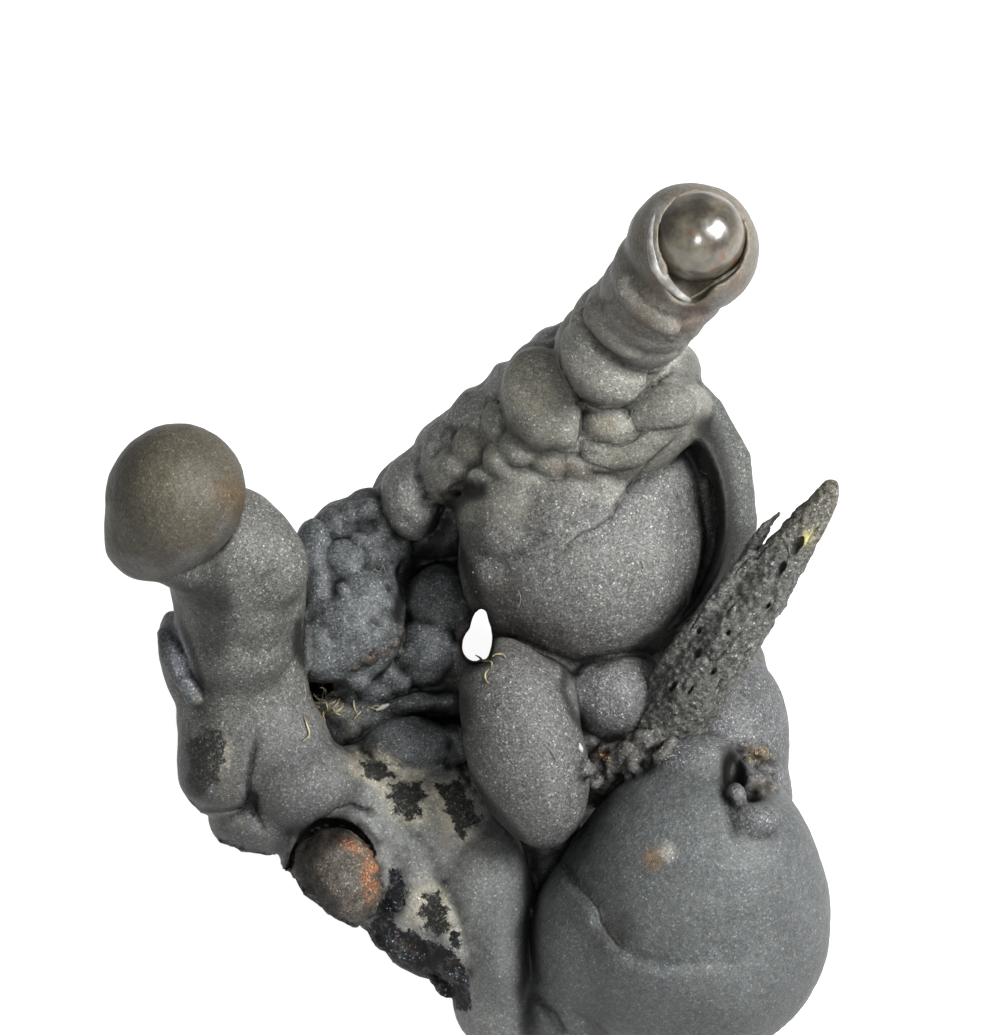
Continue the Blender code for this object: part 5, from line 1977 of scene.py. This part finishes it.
@dataclass(frozen=True)
class Strands:
    """Loose fibres of one kind that lie on the specimen: the places that each passes in the picture."""

    name: str
    finish: PlainFinish
    lines: tuple[Line, ...]
    radius: float
    lift: float = 0.35
    step: float = 0.12
    beyond: float = 0.0
    fall: float = 1.2

    def build(self, rock: Rock, tree: bpy.types.NodeTree) -> Piece:
        """Lays the strands on the surface that the picture shows.

        Args:
            rock: the body that they lie on.
            tree: the tree that makes tubes.

        Returns:
            The piece, with all the strands.
        """
        draw = random.Random(self.name)
        shape = bmesh.new()
        for line in self.lines:
            before = last = None
            for at in line:
                lift = self.lift * (draw.uniform(0.6, 1.6) if self.lift > 0.0 else 1.0)
                face = rock.under(at, self.beyond) + np.array([0.0, 0.0, lift])
                if last is not None:
                    face[2] = min(max(face[2], last - self.fall), last + self.fall)
                last = face[2]
                vertex = shape.verts.new(Vector(STAND.place(tuple(face), Frame.FACE)) * MM)
                if before is not None:
                    shape.edges.new((before, vertex))
                before = vertex
        inputs = {"Radius": self.radius * MM, "Step": self.step * MM, "Material": self.finish.material()}
        return grown_by(tree, mesh_of(self.name, shape), **inputs)


@dataclass(frozen=True)
class Druse:
    """Small crystals in a patch of the picture."""

    name: str
    finish: PlainFinish
    patches: tuple[tuple[Pair, Pair, float, int], ...]
    sizes: Pair
    length: float = 1.2
    seed: int = 5

    def build(self, rock: Rock, tree: bpy.types.NodeTree) -> Piece:
        """Sets the crystals on the surface that the picture shows.

        Args:
            rock: the body that they grow on.
            tree: the tree that sets crystals.

        Returns:
            The piece, with all the crystals.
        """
        draw = random.Random(self.seed)
        places = []
        for at, size, turn, count in self.patches:
            places += [rock.under(place) for place in scattered(at, size, turn, count, draw)]
        points = [STAND.place(tuple(face), Frame.FACE) * MM for face in places]
        mesh = bpy.data.meshes.new(self.name)
        mesh.from_pydata([tuple(p) for p in points], [], [])
        inputs = {"Smallest": self.sizes[0] * MM, "Largest": self.sizes[1] * MM, "Length": self.length}
        return grown_by(tree, mesh, Seed=self.seed, Material=self.finish.material(), **inputs)


def curls(at: Pair, spread: Pair, count: int, length: float, seed: int) -> tuple[Line, ...]:
    """Short curled fibres in a clump.

    Args:
        at: the clump's middle in the picture.
        spread: its half-sizes.
        count: how many fibres.
        length: mean length of one.
        seed: for their random places.

    Returns:
        The picture places that each fibre passes.
    """
    draw = random.Random(seed)
    lines = []
    for _ in range(count):
        u, v = (middle + draw.uniform(-1.0, 1.0) * half for middle, half in zip(at, spread))
        heading, bend = draw.uniform(0.0, math.tau), draw.uniform(-0.9, 0.9)
        line = [(u, v)]
        for _ in range(3):
            stride = length * draw.uniform(0.6, 1.4) / 3.0
            u, v = u + stride * math.cos(heading), v + stride * math.sin(heading)
            heading += bend
            line.append((u, v))
        lines.append(tuple(line))
    return tuple(lines)


STRANDS = (
    Strands("straw_fibres", STRAW, (
        *curls((-19.5, -21.5), (1, 1.4), 24, 2, 1),
        *curls((-15.2, -22.7), (0.9, 0.7), 4, 1.4, 2),
        *curls((-0.9, -16.9), (0.7, 1), 6, 1.7, 3),
        *curls((36.4, -2.2), (0.6, 0.7), 6, 1.4, 4),
        ((-22.3, -26), (-21.6, -25.2), (-21.9, -24), (-22.2, -23.1)),
    ), 0.12, 0.3),
    Strands("lint_flakes", LINT, (
        ((-13.8, -22.4), (-13, -22), (-12.3, -21.7)),
        ((9.8, -26.3), (9.9, -26.8), (10.1, -27.3)),
    ), 0.3, 0.5),
    Strands("pale_hairs", HAIR, (
        ((-4.1, -20.2), (-4, -19), (-3, -17.8), (-1.2, -17.2)),
        ((-14.7, -6.9), (-14.1, -6.1), (-13.4, -6.3), (-13, -5.6), (-12.7, -6.5)),
        ((5.8, -26.1), (6.5, -27), (7.2, -28.3)),
        ((6.3, -26), (6.6, -26.6)),
        ((-22.3, -18.9), (-22, -20.3), (-22.1, -21.5), (-21.7, -22.6)),
        ((7.6, 2.3), (8.3, 1.7), (8.8, 1.9)),
        ((16.9, -4.9), (17.3, -5.6), (17.2, -6.3)),
        ((2.7, -8.4), (3, -9.4), (2.8, -10.3)),
        ((23.8, 5.5), (24.5, 5.1), (25.2, 5.5)),
        ((18.6, -26.8), (19, -27.7), (19.2, -28.7)),
    ), 0.05, 0.25),
)
DRUSES = (
    Druse("fracture_crystals", FROST, (
        ((-5, -53.8), (1.9, 1.5), -32, 60),
        ((-12, -44), (0.8, 2.1), 0, 14),
        ((-10.6, -50.1), (3, 1), -36, 9),
    ), (0.08, 0.3)),
    Druse("pit_crystals", GILT, (
        ((30.5, -27.4), (1.5, 1), -10, 34),
        ((12.6, -27.8), (0.9, 0.6), 0, 10),
    ), (0.1, 0.28)),
    Druse("white_specks", SPECK, (
        ((20.6, -27.8), (1.2, 0.9), 0, 12),
        ((19.7, -26.1), (1.2, 0.7), 20, 9),
        ((-0.9, -6.7), (3, 5.8), 0, 10),
    ), (0.1, 0.22)),
)


@dataclass(frozen=True)
class CupEnd:
    """The glossy ball in the horn's cup, and the cup's polished lip, pale partly as a painted highlight."""

    ball: Ball = Horn.ball
    lip: Line = (
        (18.7, 35.3), (18.3, 33.4), (18.3, 31.3), (18.7, 29.5), (19.8, 27.6), (21.2, 26), (22.6, 25.2),
    )
    brow: Line = ((22.3, 25.3), (24.2, 26.3), (26, 27.5), (28, 28.9), (29.1, 30.2))
    lip_radius: float = 0.7
    brow_radius: float = 0.3
    sunk: float = -0.45
    dent: float = 0.012

    def build(self, rock: Rock, tree: bpy.types.NodeTree) -> list[Piece]:
        """Makes the ball and the two stretches of the lip.

        Args:
            rock: the body.
            tree: the tree that makes tubes.

        Returns:
            The ball, the lip and the brow.
        """
        shape = bmesh.new()
        bmesh.ops.create_icosphere(shape, subdivisions=6, radius=1.0)
        mesh = mesh_of("cup_ball", shape)
        points = np.array([v.co for v in mesh.vertices])
        away = 1.0 + self.dent * rumpled(points, 0.35, 2.0)
        points = points * away[:, None] * np.array(self.ball.size)
        move_points(mesh, points @ STAND.turn.T + STAND.place(self.ball.at, Frame.FACE))
        mesh.shade_smooth()
        mesh.materials.append(GlossFinish().material())
        pieces = [piece_of("cup_ball", mesh)]
        for name, finish, line, radius in (
            ("cup_lip", LIP, self.lip, self.lip_radius),
            ("cup_brow", BROW, self.brow, self.brow_radius),
        ):
            lift = self.sunk * radius / self.lip_radius
            strands = Strands(name, finish, (line,), radius, lift, 0.3, self.ball.at[2])
            pieces.append(strands.build(rock, tree))
        return pieces


@dataclass(frozen=True)
class Spike:
    """Rough pitted rod on the right, with its ridge and the splinter beside it."""

    axis: Track = (
        (37.9, 3, 20, 1.3), (35.7, -0.2, 19.2, 1.95), (33.3, -3.7, 18.2, 2.55), (30.3, -8.2, 16.6, 3.3),
        (26.7, -13, 14.4, 3.8), (23.1, -18.8, 11.4, 4.1), (19.9, -24, 8, 4),
    )
    ridge: Track = (
        (29.1, -4.8, 18, 1), (24.6, -9.9, 17, 1.1), (20.2, -15.7, 13, 1.1), (18.3, -19.8, 10, 1),
    )
    splinter: Track = (
        (32.2, 0.5, 15, 0.35), (30.8, -1.2, 15.5, 0.7), (28.7, -4.4, 16, 0.9), (27.2, -7.1, 16, 1),
    )
    pits: tuple[tuple[Pair, float, float], ...] = (
        ((35.1, -3.3), 0.42, 1.2), ((33.3, -6), 0.34, 0.9), ((31.7, -10.3), 0.2, 0.5),
        ((30.2, -11.8), 0.16, 0.4), ((27.1, -13.4), 0.22, 0.42), ((23.7, -13.2), 0.2, 0.5),
        ((23.5, -15.9), 0.34, 1), ((20.6, -19.8), 0.34, 1.1), ((22.7, -20.1), 0.24, 0.8),
        ((25.3, -18), 0.2, 0.5),
    )
    slant: float = -34.0
    gilt: Patch = Patch((36.3, -2.3), (0.9, 1.5), 1, slant)
    cell: float = 0.2

    def piece(self, box: Box) -> Piece:
        """The rod as a mesh of its own, roughened and pitted along its length, inside the given box.

        Args:
            box: lowest and highest corner that it may reach, in metres.

        Returns:
            The piece.
        """
        rods = [Rod(self.axis, 0.4), Rod(self.ridge, 0.3), Rod(self.splinter, 0.3)]
        corners = [rod.box() for rod in rods]
        low = np.min([c[0] for c in corners], axis=0) - 1.5
        high = np.max([c[1] for c in corners], axis=0) + 1.5
        rock = Rock(low, high, self.cell)
        rock.add(Part.SPIKE, *rods)
        for at, half_width, half_length in self.pits:
            rock.cut(Part.HOLLOW, Lump(at, (half_width, half_length), 0.9, self.slant, 0.15, 1.3))
        points, mesh = rock.surface("spike")
        start, end = (STAND.place(self.axis[i][:3], Frame.FACE) for i in (0, -1))
        along = (end - start) / np.linalg.norm(end - start)
        run = (points - start) @ along
        stretched = points - 0.75 * run[:, None] * along
        rough = np.clip(run / 5.0, 0.35, 1.0)
        slits = 1.0 - rise(np.abs(rumpled(stretched, 1.7, 21.0)), 0.0, 0.16)
        slits *= rise(rumpled(points, 3.0, 51.0), -0.1, 0.3)
        away = 0.3 * rumpled(stretched, 2.0, 5.0) + 0.22 * rumpled(points, 0.9, 7.0)
        away += 0.14 * rumpled(points, 0.5, 9.0) - 0.45 * slits
        points += normals_of(mesh) * (rough * away)[:, None]
        move_points(mesh, kept_inside(points, box))
        around = Neighbours(mesh)
        # How hollow each point is and how far the pits cover it, which the finish paints as shade.
        hollow = ((around.smooth(points, 5) - points) * normals_of(mesh)).sum(1) / 0.16
        keep_value(mesh, "hollow", np.clip(around.smooth(hollow, 1), -0.4, 1.0))
        keep_value(mesh, "tip", 1.0 - np.clip(run / 9.0, 0.0, 1.0))
        seen = STAND.seen(points)
        visible = rise(normals_of(mesh) @ STAND.turn[:, 2], 0.0, 0.3)
        holes = [Patch(at, (1.2 * wide, 1.1 * long), 1.0, self.slant) for at, wide, long in self.pits]
        keep_value(mesh, "pit", visible * np.max([hole.cover(seen) for hole in holes], axis=0))
        keep_value(mesh, "gilt", visible * self.gilt.cover(seen))
        mesh.shade_smooth()
        return piece_of("pitted_spike", mesh)


@dataclass(frozen=True)
class SpikeFinish:
    """Weathered pitted goethite: dull grey ridges with painted glints over pores darkened by painted shade,
    and golden crystals beside one pit.
    """

    ridge: str = "#767671"
    low: str = "#474642"
    tip: str = "#8c8776"
    painted_glint: str = "#f0f0ea"
    gilt: str = "#d3ca8c"
    # Sizes in millimetres of the pores, the crystals and the golden ones.
    pore: float = 0.7
    grain: float = 0.19
    golden: float = 0.55

    def material(self) -> bpy.types.Material:
        """Builds the material.

        Returns:
            The material.
        """
        p = Painter("goethite_pitted_rod")
        colour = p(Kind.MIX, p(Kind.KEPT, attribute_name="tip"), seen_as(self.ridge), seen_as(self.tip))
        rough = p(Kind.CLOUD, self.pore, 5.0, 0.8)
        colour = p(Kind.MIX, p(Kind.STEP, rough, 0.6, 0.36), colour, seen_as(self.low))
        grains = p(Kind.SPLIT, p(Kind.GRAINS, self.grain))
        colour = p.times(colour, p(Kind.MULTIPLY_ADD, grains[0], 1.2, 0.4))
        # Painted glints on a few crystals.
        glints = p(Kind.MULTIPLY, p(Kind.STEP, grains[1], 0.96, 1.0), 0.6)
        colour = p(Kind.MIX, glints, colour, seen_as(self.painted_glint))
        golden = p(Kind.STEP, p(Kind.CLOUD, self.golden, 3.0, 0.7), 0.4, 0.54)
        golden = p(Kind.MULTIPLY, p(Kind.KEPT, attribute_name="gilt"), golden)
        colour = p(Kind.MIX, golden, colour, seen_as(self.gilt))
        # Painted shade in the rod's hollows and pits.
        for name in ("hollow", "pit"):
            colour = p.times(colour, p(Kind.MULTIPLY_ADD, p(Kind.KEPT, attribute_name=name), -0.85, 1.0))
        normal = p(Kind.BUMP, rough, 0.3 * MM, 0.9)
        p.set(Base_Color=colour, Roughness=0.62, Specular_IOR_Level=0.3, Normal=normal)
        return p.material


def dress(piece: Piece) -> None:
    """Gives a finished piece its body and logs how many faces it has.

    Args:
        piece: the piece.
    """
    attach(piece, BODY)
    log.info("%s: %d faces", piece.name, len(piece.data.polygons))


@dataclass(frozen=True)
class Lamp:
    """A soft square lamp: where it is, how strong and how wide, in metres."""

    name: str
    at: Point
    power: float
    size: float


@dataclass(frozen=True)
class Studio:
    """Pale floor, soft light and the camera at the picture's angle."""

    floor_colour: str = "#8a8a8a"
    floor_glow_colour: str = "#ffffff"
    floor_size: float = 4.0
    floor_glow: float = 0.9
    ambient: float = 0.37
    lamps: tuple[Lamp, ...] = (
        Lamp("key", (0.42, -0.18, 0.47), 12.0, 0.30),
        Lamp("window", (0.03, -0.52, 0.42), 1.6, 0.07),
    )
    aim: Point = (0.0, 0.0, 0.04)
    lens: float = 200.0
    film_width: float = 36.0

    def build(self) -> None:
        """Adds the floor, the lights and the camera."""
        shape = bmesh.new()
        bmesh.ops.create_grid(shape, x_segments=1, y_segments=1, size=self.floor_size / 2.0)
        mesh = mesh_of("floor", shape)
        floor = piece_of("floor", mesh)
        paint = Painter("white_light_table")
        paint.set(Base_Color=linear(self.floor_colour), Roughness=0.9)
        paint.set(Emission_Color=linear(self.floor_glow_colour), Emission_Strength=self.floor_glow)
        mesh.materials.append(paint.material)
        floor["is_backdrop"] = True
        world = bpy.data.worlds.new("soft_room")
        bpy.context.scene.world = world
        world.use_nodes = True
        background = world.node_tree.nodes["Background"]
        background.inputs["Color"].default_value = (1.0, 1.0, 1.0, 1.0)
        background.inputs["Strength"].default_value = self.ambient
        for lamp in self.lamps:
            self.light(lamp)
        camera = bpy.data.cameras.new("camera")
        camera.lens = self.lens
        camera.sensor_width = self.film_width
        camera.clip_start = 0.01
        eye = bpy.data.objects.new("camera", camera)
        bpy.context.scene.collection.objects.link(eye)
        out = Vector(STAND.turn[:, 2])
        eye.location = (Vector(STAND.middle) + out * STAND.camera_distance) * MM
        eye.rotation_euler = out.to_track_quat("Z", "Y").to_euler()
        bpy.context.scene.camera = eye
        view = bpy.context.scene.view_settings
        view.view_transform = "Standard"
        view.look = "None"

    def light(self, lamp: Lamp) -> None:
        """Adds a lamp that looks at the specimen.

        Args:
            lamp: the lamp.
        """
        light = bpy.data.lights.new(lamp.name, "AREA")
        light.energy = lamp.power
        light.size = lamp.size
        holder = bpy.data.objects.new(lamp.name, light)
        bpy.context.scene.collection.objects.link(holder)
        holder.location = lamp.at
        holder.rotation_euler = (Vector(lamp.at) - Vector(self.aim)).to_track_quat("Z", "Y").to_euler()


def corners() -> Box:
    """Lowest and highest corner of what the scene holds, in metres."""
    return [[float(x) for x in corner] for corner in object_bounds()]


def main() -> None:
    """Builds the specimen and its studio, and reports each piece."""
    logging.basicConfig(level=logging.INFO, format="%(name)s %(message)s")
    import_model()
    cad = corners()
    skin, marks = Skin(), Markings()
    mesh = skin.mesh()
    skin.carve(mesh, marks, cad)
    mesh.shade_smooth()
    mesh.materials.append(GoethiteFinish().material())
    mesh.materials.append(FractureFinish().material())
    skin.paint(mesh, marks)
    piece = piece_of("goethite_skin", mesh)
    dress(piece)
    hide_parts(NODE)
    spike = Spike().piece(cad)
    spike.data.materials.append(SpikeFinish().material())
    dress(spike)
    tubes, grains = TubeTree().tree, GrainTree().tree
    for each in CupEnd().build(skin.rock, tubes):
        dress(each)
    for strands in STRANDS:
        dress(strands.build(skin.rock, tubes))
    for druse in DRUSES:
        dress(druse.build(skin.rock, grains))
    Studio().build()


if __name__ == "__main__":
    main()
